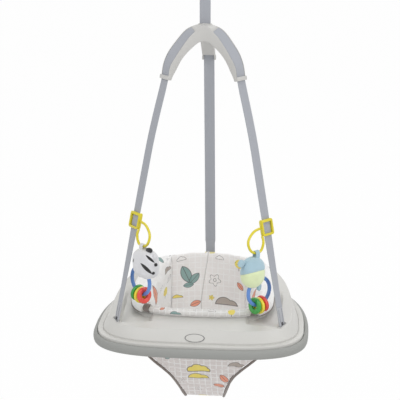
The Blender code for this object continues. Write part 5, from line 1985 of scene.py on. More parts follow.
    def _collar(self, side: Side, foot: Vector, tray: Tray) -> None:
        """Make the raised collar round a strap's slot.

        Args:
            side: The strap's side.
            foot: Where it meets the deck.
            tray: The tray it stands on.
        """
        turn = self.foot_upright(side)
        inner, outer = rounded_rectangle(*self.collar_inner), rounded_rectangle(*self.collar_outer)
        rings = []
        for near, far in zip(inner, outer):
            near, far = foot + turn @ near, foot + turn @ far
            low = max(tray.height(p.x, p.y) for p in (near, near.lerp(far, 0.5), far)) + 0.0002
            ring = [Vector((near.x, near.y, low)), Vector((near.x, near.y, low + 0.0018)),
                    near.lerp(far, 0.35).xy.to_3d() + UP * (low + 0.0022),
                    near.lerp(far, 0.75).xy.to_3d() + UP * (low + 0.0017),
                    Vector((far.x, far.y, low + 0.0006)), Vector((far.x, far.y, low))]
            rings.append(ring)
        collar = Bench.loft(f"collar_{side.word}", rings, closed=True)
        Berth("seat", "hub_white", (f"slot_collar_{side.word}",), smooth_degrees=60).take(
            collar, HUB_WHITE.material())


@dataclass
class TopAssembly:
    """The top strap with its adjuster and loop, the spring between its caps, the swivel and the clamp."""

    hub_top: float = 0.722
    adjuster_z: float = 0.811
    bar_z: float = 0.856
    coil_start: float = 0.8924
    spring_turns: int = 15
    spring_pitch: float = 0.0074
    spring_radius: float = 0.0165
    spring_wire: float = 0.0018
    ply: float = 0.0068
    pivot_drop: float = 0.0920
    torsion_radius: float = 0.00574

    CARRIED = (
        ("height_adjuster", "adjuster", "moulded_grey", MOULDED_GREY, 0.0009),
        ("spring_cap_lower", "seat", "hub_white", HUB_WHITE, 0.0007),
        ("spring_cap_upper", "spring_top", "hub_white", HUB_WHITE, 0.0007),
        ("swivel_housing", "spring_top", "hub_white", HUB_WHITE, 0.0006),
        ("swivel_eye", "swivel", "steel", STEEL, 0.0003),
        ("hanger", "clamp_frame", "steel", STEEL, 0.0004),
        ("clamp_pivot_pin", "clamp_frame", "steel", STEEL, 0.0004),
        ("clamp_jaw_front", "jaw_front", "hub_white", HUB_WHITE, 0.0014),
        ("clamp_jaw_rear", "jaw_rear", "hub_white", HUB_WHITE, 0.0014),
        ("grip_pad_front", "jaw_front", "rubber_grey", RUBBER_GREY, 0.0005),
        ("grip_pad_rear", "jaw_rear", "rubber_grey", RUBBER_GREY, 0.0005),
    )

    def build(self) -> None:
        """Make the strap, the loop and both springs, and carry the rest over from the CAD nodes."""
        self._strap()
        self._loop()
        self._main_spring()
        self._clamp_spring()
        for node, body, slot, finish, bevel in self.CARRIED:
            piece = Bench.copy_of(node, f"{node}_finished")
            Bench.rounded(piece, bevel)
            Berth(body, slot, (node,), NO_SHIFT, 35).take(piece, finish.material())

    def _strap(self) -> None:
        """Make the top strap, up and over the loop's bar and back to a short tail."""
        across, half = Vector((1, 0, 0)), self.ply / 2
        stations = []
        for k in range(15):
            z = self.hub_top - 0.020 + (self.bar_z - self.hub_top + 0.020) * k / 14
            stations.append((Vector((0, 0, z)), across, Vector((0, -1, 0))))
        for step in range(1, 16):
            angle = math.pi * step / 16
            outward = Vector((0, -math.cos(angle), math.sin(angle)))
            stations.append((Vector((0, half, self.bar_z)) + outward * half, across, outward))
        end = self.adjuster_z - 0.015 - 0.009
        for k in range(9):
            z = self.bar_z + (end - self.bar_z) * k / 8
            stations.append((Vector((0, self.ply, z)), across, Vector((0, 1, 0))))
        strap = LowerStraps.band("webbing_top", stations, lambda i: 0.0254, lambda i: 0.0016)
        Berth("seat", "webbing_grey", ("top_strap",)).take(strap, WEBBING_GREY.material())

    def _loop(self) -> None:
        """Make the steel loop that joins the strap to the spring."""
        wire, corner = 0.0020, 0.0040
        half, low, high = 0.0127 + 0.0012 + wire, self.bar_z, self.bar_z + 0.019
        route = []
        for cx, cz, start in ((half - corner, high - corner, 0), (corner - half, high - corner, 90),
                              (corner - half, low + corner, 180), (half - corner, low + corner, 270)):
            for step in range(9):
                angle = math.radians(start + 90 * step / 8)
                route.append(Vector((cx + corner * math.cos(angle), self.ply / 2,
                                     cz + corner * math.sin(angle))))
        loop = Bench.tube("loop_of_steel", route, wire, 16, closed=True)
        Berth("seat", "steel", ("strap_loop",)).take(loop, STEEL.material())

    def _main_spring(self) -> None:
        """Make the coil between the swivel and the seat, left on no body."""
        per_turn = 28
        path = []
        for k in range(self.spring_turns * per_turn + 1):
            angle = 2 * math.pi * k / per_turn
            path.append(Vector((self.spring_radius * math.cos(angle),
                                self.ply / 2 + self.spring_radius * math.sin(angle),
                                self.coil_start + self.spring_pitch * k / per_turn)))
        coil = Bench.tube("coil_spring", path, self.spring_wire, 12)
        Berth("", "steel", ("main_spring",), smooth_degrees=60).take(coil, STEEL.material())
        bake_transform(coil)

    def _clamp_spring(self) -> None:
        """Make the small spring round the clamp's pin."""
        turn_count, per_turn, pitch, leg = 4.5, 24, 0.0034, 0.0100
        wound = []
        for k in range(int(turn_count * per_turn) + 1):
            angle = 2 * math.pi * k / per_turn
            wound.append(Vector((pitch * k / per_turn - turn_count * pitch / 2,
                                 self.torsion_radius * math.cos(angle),
                                 self.torsion_radius * math.sin(angle))))
        legs = [[wound[end] - UP * leg * k / 6 for k in range(6, 0, -1)] for end in (0, -1)]
        path = [point - UP * self.pivot_drop for point in legs[0] + wound + legs[1][::-1]]
        spring = Bench.tube("clamp_coil", path, 0.0010, 10)
        Berth("clamp_frame", "steel", ("clamp_spring",), NO_SHIFT, 60).take(spring, STEEL.material())


# Seat padding


@dataclass(frozen=True)
class Crease:
    """A line on the cloth's map that is pressed into its padding."""

    start: tuple[float, float]
    stop: tuple[float, float]
    depth: float
    width: float

    def press(self, spot: tuple[float, float]) -> float:
        """Return how far the crease pushes in at a spot of the map.

        Args:
            spot: The spot.

        Returns:
            The depth there.
        """
        start, stop, place = Vector(self.start), Vector(self.stop), Vector(spot)
        run = stop - start
        share = min(max((place - start).dot(run) / run.length_squared, 0.0), 1.0)
        off = (place - start - run * share).length / self.width
        return self.depth * math.exp(-off * off) * min(1.0, 5 * (1 - share) + 0.3) if off < 3 else 0.0


def puckered(seam: Sequence[tuple[float, float]], reach: float, depth: float, sides: Sequence[int],
             pitch: float = 0.009) -> list[Crease]:
    """Return a seam's groove and the short folds that run off it.

    Args:
        seam: The seam's points on the cloth's map.
        reach: How far the folds run.
        depth: The groove's depth.
        sides: The sides that the folds run to, 1 left of the seam's way and -1 right of it.
        pitch: The space between folds.

    Returns:
        The creases.
    """
    folds = []
    for start, stop in zip(seam, seam[1:]):
        near, far = Vector(start), Vector(stop)
        run = far - near
        normal = Vector((-run.y, run.x)).normalized()
        folds.append(Crease(start, stop, depth, 0.0030))
        count = max(1, int(run.length / pitch))
        for k in range(count):
            for side in sides:
                spot = near.lerp(far, (k + random.random()) / count)
                lean = normal * side + run.normalized() * random.uniform(-0.7, 0.7)
                end = spot + lean * reach * random.uniform(0.5, 1.2)
                folds.append(Crease(tuple(spot), tuple(end), depth * random.uniform(0.35, 0.75), 0.0034))
    return folds


class Padding:
    """Steps that turn a plain closed form into stuffed cloth."""

    @staticmethod
    def fill(obj: Object, voxel: float, cap: float, free: Callable[[Vector, Vector], float]) -> None:
        """Swell a form by a short cloth simulation under pressure.

        Args:
            obj: The closed form, slightly smaller than the pad.
            voxel: The size of the remeshed faces.
            cap: The most that a point may move.
            free: Gives the share of that move allowed at a point with a normal.
        """
        Bench.pick(obj)
        obj.data.remesh_voxel_size = voxel
        obj.data.use_remesh_fix_poles = True
        bpy.ops.object.voxel_remesh()
        Bench.apply(obj, "SMOOTH", factor=0.5, iterations=3)
        Padding._swell(obj, cap, free)
        Bench.apply(obj, "SUBSURF", levels=1, render_levels=1)

    @staticmethod
    def _swell(obj: Object, cap: float, free: Callable[[Vector, Vector], float]) -> None:
        """Run the cloth under pressure and keep each point's move within its limit.

        Args:
            obj: The closed form.
            cap: The most that a point may move.
            free: Gives the share of that move allowed.
        """
        scene = bpy.context.scene
        rest = [vert.co.copy() for vert in obj.data.vertices]
        normals = [vert.normal.copy() for vert in obj.data.vertices]
        cloth = obj.modifiers.new("stuffing", "CLOTH")
        cloth.settings.use_pressure = True
        cloth.settings.uniform_pressure_force = 4.0
        cloth.settings.effector_weights.gravity = 0.0
        cloth.settings.quality = 5
        cloth.point_cache.frame_start, cloth.point_cache.frame_end = 1, 16
        for number in range(1, 17):
            scene.frame_set(number)
        shown = obj.evaluated_get(bpy.context.evaluated_depsgraph_get())
        moved = [vert.co.copy() for vert in shown.data.vertices]
        obj.modifiers.remove(cloth)
        scene.frame_set(1)
        for vert, start, normal, stop in zip(obj.data.vertices, rest, normals, moved):
            move = stop - start
            limit = cap * free(start, normal)
            vert.co = start + move * min(1.0, limit / max(move.length, 1e-9))
        obj.data.update()
        Bench.apply(obj, "SMOOTH", factor=0.5, iterations=2)

    @staticmethod
    def crease(obj: Object, creases: Sequence[Crease], ripple: float, scale: float,
               free: Callable[[Vector, Vector], float],
                spot: Callable[[Vector], tuple[float, float]]) -> None:
        """Lay the cloth's map on a pad, press creases into it and let its skin ripple a little.

        Args:
            obj: The pad.
            creases: The lines to press in.
            ripple: The height of the skin's unevenness.
            scale: Its frequency, in waves to the metre.
            free: Gives the share of the change allowed at a point with a normal.
            spot: Gives a point's spot on the cloth's map.
        """
        mesh = obj.data
        layer = mesh.uv_layers[0] if mesh.uv_layers else mesh.uv_layers.new(name="UVMap")
        spots = [spot(vert.co) for vert in mesh.vertices]
        for loop in mesh.loops:
            layer.data[loop.index].uv = spots[loop.vertex_index]
        moves = []
        for vert, place in zip(mesh.vertices, spots):
            share = free(vert.co, vert.normal)
            press = sum(line.press(place) for line in creases) if share > 0.01 else 0.0
            wave = noise.noise(vert.co * scale) * ripple + noise.noise(vert.co * scale * 2.7) * ripple * 0.4
            moves.append(vert.normal * (wave - min(press, 0.0065)) * share)
        for vert, move in zip(mesh.vertices, moves):
            vert.co += move
        mesh.update()


Row = tuple[float, float, tuple[float, float, float], float, float, float]


@dataclass
class SeatPads:
    """The seat: its back, side pads, front roll, front panel and bindings."""

    tray: Tray
    lift: float = 0.0012
    back_half: float = 0.0930
    back_hem: float = 0.0120
    back_thickness: float = 0.0130
    puff: float = 0.0060
    crotch_half: float = 0.0440
    crotch_depth: float = 0.2280
    crotch_y: float = 0.0060
    wing_hem: float = 0.0240
    wing_thickness: float = 0.0170
    roll_radius: float = 0.0096
    roll_reach: float = 0.0105
    roll_start: float = 220.5
    band_degrees: float = 8.0
    apron_thickness: float = 0.0050
    apron_half: float = 0.1420
    binding_radius: float = 0.0032

    BACK_SHARES = ((0.097, 0.088, (0, -1, 0.1), 1, 1, 0.8), (0.230, 0.345, (0, -0.95, 0.3), 0.9, 1, 0.5),
                   (0.521, 0.680, (0, -0.8, 0.6), 0.7, 0.77, 0.2),
                    (0.799, 0.877, (0, -0.5, 0.85), 0.5, 0.60, 0))
    APRON_SHARES = ((0.095, 0.175, (0, 1, 0.1), 0.96, 1), (0.189, 0.333, (0, 1, 0.3), 0.97, 0.9),
                    (0.250, 0.408, (0, 1, 0.4), 0.79, 0.8), (0.338, 0.509, (0, 1, 0.5), 0.63, 0.6),
                    (0.426, 0.614, (0, 1, 0.6), 0.50, 0.4), (0.601, 0.781, (0, 0.8, 0.7), 0.385, 0.2),
                    (0.797, 0.921, (0, 0.5, 0.9), 0.33, 0))

    def back_rows(self) -> list[Row]:
        """Return the seat back's rows: Y, height, way it faces, thickness share, half-width and curve.

        Returns:
            The rows, from the top down.
        """
        edge, rim = OPENING.y_at(0, True), self.tray.rim_rear
        top, under, wide = rim + self.lift, rim - self.tray.inner_skirt, self.back_half + 0.0016
        rows: list[Row] = [(edge + self.back_hem, top, (0, 0, 1), 0.35, wide, 1),
                           (edge + self.back_hem / 2, top, (0, -0.2, 1), 0.85, wide, 1),
                           (edge - self.lift, top, (0, -0.7, 0.7), 1, wide, 1),
                           (edge - self.lift, (rim + under) / 2, (0, -1, 0.1), 1, wide, 1),
                           (edge - 2 * self.lift, under, (0, -1, 0), 1, wide, 1)]
        run = edge - self.crotch_y
        rows += [(edge - run * a, -self.crotch_depth * d, way, thick, wide * w, follow)
                 for a, d, way, thick, w, follow in self.BACK_SHARES]
        rows.append((self.crotch_y + CLOSE_GAP, -self.crotch_depth, (0, 0, 1), 0.35, self.crotch_half, 0))
        return rows

    def apron_rows(self) -> list[Row]:
        """Return the front panel's rows in the same form.

        Returns:
            The rows, from the top down.
        """
        edge, wide = OPENING.y_at(0, False), self.apron_half
        rim = self.tray.rim_front
        rows: list[Row] = [(edge + self.lift, rim - self.tray.rim_round, (0, 1, 0), 1, 0.8 * wide, 1),
                           (edge + self.lift, rim - self.tray.inner_skirt, (0, 1, 0), 1, 0.8 * wide, 1)]
        run = self.crotch_y - edge
        rows += [(edge + run * a, -self.crotch_depth * d, way, 1, wide * w, follow)
                 for a, d, way, w, follow in self.APRON_SHARES]
        rows.append((self.crotch_y - CLOSE_GAP, -self.crotch_depth, (0, 0, 1), 0.9, self.crotch_half, 0))
        return rows

    @staticmethod
    def _finer(rows: Sequence[Row], steps: int) -> list[Row]:
        """Return rows with straight steps between them.

        Args:
            rows: The rows.
            steps: The steps from one row to the next.

        Returns:
            The finer rows.
        """
        made = []
        for near, far in zip(rows, rows[1:]):
            for k in range(steps):
                t = k / steps
                flat = [a + (b - a) * t for a, b in zip(near[:2] + near[3:], far[:2] + far[3:])]
                way = Vector(near[2]).lerp(Vector(far[2]), t)
                made.append((flat[0], flat[1], tuple(way), flat[2], flat[3], flat[4]))
        return made + [rows[-1]]

    def _panel(self, name: str, rows: Sequence[Row], columns: int, rear: bool,
               puff: Callable[[float], float]) -> Object:
        """Loft a panel of padding across its columns.

        Args:
            name: The new object's name.
            rows: The panel's rows.
            columns: The steps across it.
            rear: Whether it follows the opening's rear edge.
            puff: Gives the thickness at a share across it.

        Returns:
            The panel.
        """
        rings = []
        for k in range(columns + 1):
            share = 2 * k / columns - 1
            back, front = [], []
            for y, z, way, thick, half, follow in rows:
                x = share * half
                shift = OPENING.y_at(x, rear) - OPENING.y_at(0, rear)
                point = Vector((x, y + follow * shift, z))
                back.append(point)
                front.append(point + Vector(way).normalized() * thick * puff(share))
            rings.append(front + back[::-1])
        return Bench.loft(name, rings)

    def build(self) -> None:
        """Make all of the seat's soft pieces."""
        self._back()
        for side in (Side.LEFT, Side.RIGHT):
            self._wing(side)
        self._roll()
        self._apron()
        for side in (Side.LEFT, Side.RIGHT):
            self._binding(side)

    def _back(self) -> None:
        """Make the padded back: two upright channels that meet in a leaning middle seam."""
        body = self.back_thickness - self.puff

        def puff(share: float) -> float:
            """Fill the back more on either side of its middle."""
            edge = 0.80 + 0.20 * eased(1 - abs(share), 0.0, 0.06)
            return body * edge + self.puff * 0.8 * math.sin(math.pi * abs(share)) ** 0.5

        def free(place: Vector, normal: Vector) -> float:
            """Hold the back's hidden face, its sides and its low end.

            Args:
                place: The point.
                normal: The way it faces.

            Returns:
                The share of the move allowed.
            """
            hidden = eased(normal.y, -0.1, 0.25)
            side = eased(self.back_half - abs(place.x), 0.001, 0.008)
            low = eased(place.z, -self.crotch_depth, -self.crotch_depth + 0.02)
            return (1 - hidden) * (0.15 + 0.85 * side) * low

        back = self._panel("seat_back_pad", self._finer(self.back_rows(), 4), 40, True, puff)
        Padding.fill(back, 0.0045, 0.0042, free)
        random.seed(5)
        middle = ((-0.003, 0.110), (-0.006, 0.080), (-0.013, 0.035), (-0.020, -0.020), (-0.012, -0.120),
                  (0.0, -0.200))
        left, right = ((-0.0900, 0.105), (-0.0885, -0.060)), ((0.0900, 0.105), (0.0885, -0.060))
        creases = puckered(middle, 0.014, 0.0048, (-1, 1), 0.012)
        creases += puckered(left, 0.017, 0.0040, (1,), 0.008) + puckered(right, 0.017, 0.0040, (-1,), 0.008)
        creases += [Crease((-0.016, 0.000), (-0.050, -0.022), 0.0030, 0.0060),
                    Crease((-0.014, 0.030), (0.020, 0.004), 0.0024, 0.0055),
                    Crease((0.040, -0.030), (0.080, 0.010), 0.0026, 0.0070),
                    Crease((-0.080, 0.010), (-0.045, -0.030), 0.0026, 0.0060)]

        def spot(place: Vector) -> tuple[float, float]:
            """Lay the back flat, its head bent over."""
            return place.x, place.z + max(0.0, place.y - 0.145)

        Padding.crease(back, creases, 0.0016, 42.0, free, spot)
        cloth = PrintedCloth("back_cloth", CLOTH, 0.92, prints=BACK_PRINTS, seams=(middle,))
        Berth("seat", "print_fabric", ("seat_back",), smooth_degrees=180).take(back, cloth.material())
        surface = BVHTree.FromObject(back, bpy.context.evaluated_depsgraph_get())
        top = surface.ray_cast(Vector((0, 0.151, 0.3)) + SEAT_SHIFT, -UP)[0].z - SEAT_SHIFT.z
        tab = Bench.block("back_tab", (-0.0126, 0.1470, top - 0.0014), (0.0126, 0.1550, top + 0.0016), 0.0008)
        Berth("seat", "taupe_binding").take(tab, TAB_YELLOW.material())

    def _wing_ring(self, angle: float, side: Side, swell: float,
                   straight: float, short: float) -> list[Vector]:
        """Return a side pad's section at an angle of the opening.

        Args:
            angle: Angle of the opening.
            side: The pad's side.
            swell: Share of the full thickness.
            straight: How far the section turns to face the rear.
            short: How far it is shortened to the rim.

        Returns:
            The section's points in order.
        """
        place, normal = OPENING.point(angle), OPENING.outward(angle)
        place.x *= side.value
        normal.x *= side.value
        out = (normal * (1 - straight) + Vector((0, 1, 0)) * straight).normalized()
        rim = self.tray.rim_height(place.y)
        under = rim - self.tray.inner_skirt
        bottom = -0.068 + (under - self.tray.rim_round + 0.068) * short
        top, hem, lift = rim + self.lift, self.wing_hem, self.lift
        rows = ((hem, top, UP, 0.18), (hem * 0.82, top, UP + out * 0.5, 0.62),
                (hem * 0.62, top, UP + out * 0.4, 0.9),
                (hem * 0.40, top, UP, 1.10), (hem * 0.20, top, UP, 1.16), (-lift, top, UP - out * 0.5, 1.14),
                (-lift, top - 0.004, UP - out, 1.16), (-lift, (rim + under) / 2, -out, 1.36),
                (-2 * lift, under, -out, 1.46), (-3 * lift, (under + bottom) / 2, -out, 1.16),
                (-4 * lift, bottom, -out, 0.35))
        line = [(place + out * reach + UP * height, way.normalized(), thick)
                for reach, height, way, thick in rows]
        front = [point + way * self.wing_thickness * thick * swell for point, way, thick in line]
        return front + [point for point, _, _ in reversed(line)]

    def _wing(self, side: Side) -> None:
        """Make a puffed side pad that wraps the rim, with the gathers along its inner seam.

        Args:
            side: The pad's side.
        """
        start = math.acos(((self.back_half - 0.0010) / OPENING.half_width) ** (OPENING.rear_power / 2))
        stop = math.radians(0.3) - (math.radians(self.roll_start) - math.pi)
        rings = []
        count = 30
        for k in range(count + 1):
            share = k / count
            swell = 0.40 + 0.58 * math.sin(math.pi * share) ** 0.6
            rings.append(self._wing_ring(start + (stop - start) * share, side, swell,
                                         1 - eased(share, 0, 0.25),
                                         eased(share, 0.45, 0.8)))
        wing = Bench.loft(f"seat_wing_pad_{side.word}", rings)

        def free(place: Vector, normal: Vector) -> float:
            """Hold the pad where it lies on the rim.

            Args:
                place: The point.
                normal: The way it faces.

            Returns:
                The share of the move allowed.
            """
            mirrored = Vector((place.x * side.value, place.y, 0))
            out = OPENING.outward(OPENING.angle_of(mirrored))
            out.x *= side.value
            hidden = max(eased(normal.dot(out), 0.0, 0.4) * eased(0.10 - place.z, 0, 0.02),
                         eased(-normal.z, 0.3, 0.7))
            edge = eased(mirrored.x - self.back_half, 0.001, 0.008)
            ends = eased(place.y + 0.118, -0.002, 0.008)
            return (1 - hidden) * (0.2 + 0.8 * edge) * (0.2 + 0.8 * ends)

        Padding.fill(wing, 0.0045, 0.0040, free)
        random.seed(7 + side.value)
        creases = puckered(((0.1415, -0.150), (0.1415, 0.022)), 0.024, 0.0046, (1,), 0.007)
        creases += puckered(((-0.100, -0.060), (-0.100, 0.020)), 0.018, 0.0034, (-1,), 0.008)
        creases += [Crease((0.100, -0.030), (0.060, -0.060), 0.0028, 0.0070),
                    Crease((0.050, -0.020), (0.030, -0.070), 0.0024, 0.0070),
                    Crease((0.070, 0.016), (0.062, -0.030), 0.0020, 0.0060),
                    Crease((-0.030, 0.010), (-0.020, -0.050), 0.0024, 0.0065)]

        def spot(place: Vector) -> tuple[float, float]:
            """Lay the pad flat: along the rim and across it.

            Args:
                place: The point.

            Returns:
                The spot of the map.
            """
            mirrored = Vector((place.x * side.value, place.y, 0))
            angle = OPENING.angle_of(mirrored)
            rim = OPENING.point(angle)
            out = (mirrored - rim).dot(OPENING.outward(angle))
            return angle * 0.15, place.z - self.tray.rim_height(rim.y) + max(0.0, out)

        Padding.crease(wing, creases, 0.0022, 48.0, free, spot)
        cloth = PrintedCloth(f"wing_cloth_{side.word}", PALE_CLOTH, 0.92, prints=WING_PRINTS,
                             check_strength=0.6)
        Berth("seat", "print_fabric", (f"seat_wing_{side.word}",), smooth_degrees=180).take(
            wing, cloth.material())
        path = []
        for k in range(25):
            angle = start + (stop - start) * k / 24
            ring = self._wing_ring(angle, side, 1.0, 1 - eased(k / 24, 0, 0.25), 0.0)
            path.append(ring[0] - UP * 0.0016 + (ring[0] - ring[1]).normalized() * 0.0008)
        piping = Bench.tube(f"wing_piping_{side.word}", path, 0.0013, 8)
        Berth("seat", "taupe_binding").take(piping, TAUPE.material())

    def _roll_ring(self, angle: float, radius: float, count: int = 24) -> list[Vector]:
        """Return a round section of the front roll over the rim.

        Args:
            angle: Angle of the opening.
            radius: The roll's radius.
            count: The points of the section.

        Returns:
            The section's points in order.
        """
        place, out = OPENING.point(angle), OPENING.outward(angle)
        rim = self.tray.rim_height(place.y)
        centre = place + out * self.roll_reach + UP * (rim + self.lift + self.roll_radius + 0.0008)
        return [centre + radius * (math.cos(a) * out + math.sin(a) * UP) for a in turns(count)]

    def _roll(self) -> None:
        """Make the front roll with its gathers, and the wrapped band at each of its ends."""
        start, band = math.radians(self.roll_start), math.radians(self.band_degrees)
        stop, seam = 3 * math.pi - start, math.radians(0.2)
        rings = []
        for k in range(49):
            share = k / 48
            angle = start + band + seam + (stop - start - 2 * band - 2 * seam) * share
            swell = 0.88 + 0.08 * math.sin(math.pi * share) ** 0.4
            rings.append(self._roll_ring(angle, self.roll_radius * swell))
        roll = Bench.loft("front_roll_pad", rings)

        def free(place: Vector, normal: Vector) -> float:
            """Hold the roll's ends and its lower face.

            Args:
                place: The point.
                normal: The way it faces.

            Returns:
                The share of the move allowed.
            """
            ends = eased(0.104 - abs(place.x), 0.0, 0.012)
            low = 1 - 0.8 * eased(-normal.z, 0.5, 0.9)
            return ends * low

        Padding.fill(roll, 0.0035, 0.0012, free)
        random.seed(11)
        creases = []
        for k in range(26):
            u = -0.100 + 0.200 * k / 25 + random.uniform(-0.002, 0.002)
            low = random.uniform(-0.016, 0.0)
            creases.append(Crease((u, low), (u + random.uniform(-0.004, 0.004), low + 0.022),
                                  random.uniform(0.0006, 0.0013), 0.0024))
        Padding.crease(roll, creases, 0.0008, 70.0, free, self._roll_spot)
        cloth = PrintedCloth("roll_cloth", ROLL_CLOTH, 0.92, prints=ROLL_PRINTS, check_strength=0.6)
        Berth("seat", "print_fabric", ("seat_front_roll",), smooth_degrees=180).take(roll, cloth.material())
        for word, low in (("left", start), ("right", stop - band)):
            rings = []
            for k in range(13):
                grow = 0.0008 * math.sin(math.pi * k / 12) ** 0.4 if 0 < k < 12 else 0.0
                rings.append(self._roll_ring(low + band * k / 12, self.roll_radius + grow, 32))
            wrap = Bench.loft(f"roll_band_wrap_{word}", rings)
            Berth("seat", "taupe_binding", (f"roll_band_{word}",), smooth_degrees=60).take(
                wrap, TAUPE.material())

    def _roll_spot(self, place: Vector) -> tuple[float, float]:
        """Return the cloth's place on the roll: along it and round it.

        Args:
            place: The place.

        Returns:
            The two distances.
        """
        y = OPENING.y_at(place.x, False) - self.roll_reach
        z = self.tray.rim_height(y) + self.lift + self.roll_radius
        return place.x, math.atan2(place.z - z, y - place.y) * self.roll_radius

    def _apron(self) -> None:
        """Make the front panel that hangs from the rim and narrows between the leg openings."""
        def free(place: Vector, normal: Vector) -> float:
            """Hold the panel's top and its low end.

            Args:
                place: The point.
                normal: The way it faces.

            Returns:
                The share of the move allowed.
            """
            low = eased(place.z, -self.crotch_depth + 0.004, -self.crotch_depth + 0.03)
            high = 1 - eased(place.z, -0.02, 0.02)
            return low * high

        apron = self._panel("front_panel_pad", self._finer(self.apron_rows(), 4), 44, False,
                            lambda share: self.apron_thickness)
        Padding.fill(apron, 0.0036, 0.0014, free)
        creases = [Crease((-0.100, -0.075), (-0.050, -0.130), 0.0024, 0.0080),
                   Crease((0.100, -0.075), (0.050, -0.130), 0.0024, 0.0080),
                   Crease((-0.060, -0.160), (0.030, -0.178), 0.0026, 0.0070),
                   Crease((0.056, -0.165), (0.000, -0.195), 0.0022, 0.0060),
                   Crease((-0.046, -0.185), (0.010, -0.205), 0.0020, 0.0060),
                   Crease((0.000, -0.050), (0.006, -0.150), 0.0012, 0.0120)]
        Padding.crease(apron, creases, 0.0018, 30.0, free, lambda p: (p.x, p.z))
        cloth = PrintedCloth("apron_cloth", APRON_CLOTH, 0.92, prints=APRON_PRINTS)
        Berth("seat", "print_fabric", ("seat_apron",), smooth_degrees=180).take(apron, cloth.material())

    def _edge(self, rows: Sequence[Row], side: Side, rear: bool, first: int) -> list[Vector]:
        """Return the points just outside a panel's side edge, from one row downwards.

        Args:
            rows: The panel's rows.
            side: The edge's side.
            rear: Whether it follows the opening's rear edge.
            first: The row to start from.

        Returns:
            The points, downwards.
        """
        edge = []
        for y, z, way, thick, half, follow in rows:
            shift = OPENING.y_at(half, rear) - OPENING.y_at(0, rear)
            edge.append(Vector((side.value * half, y + follow * shift, z))
                        + Vector(way).normalized() * thick * self.apron_thickness / 2)
        points = []
        for i in range(first, len(edge)):
            along = (edge[min(i + 1, len(edge) - 1)] - edge[i - 1]).normalized()
            outward = (Vector((side.value, 0, 0)) - along * along.x * side.value).normalized()
            points.append(edge[i] + outward * (self.binding_radius + 0.0010))
        return points

    def _binding(self, side: Side) -> None:
        """Make the tape bound round a leg opening.

        Args:
            side: The opening's side.
        """
        front = self._edge(self.apron_rows(), side, False, 3)
        rear = self._edge(self.back_rows(), side, True, 6)
        off = self.binding_radius + 0.0010
        corner = Vector((side.value * (self.crotch_half + off), self.crotch_y,
                         -self.crotch_depth + self.apron_thickness / 2))
        route = spline(front[:-1] + [corner] + rear[-2::-1], 6)
        tape = Bench.tube(f"leg_tape_{side.word}", route, self.binding_radius, 14)
        Berth("seat", "taupe_binding", (f"leg_binding_{side.word}",), smooth_degrees=60).take(
            tape, TAUPE.material())


# Toys


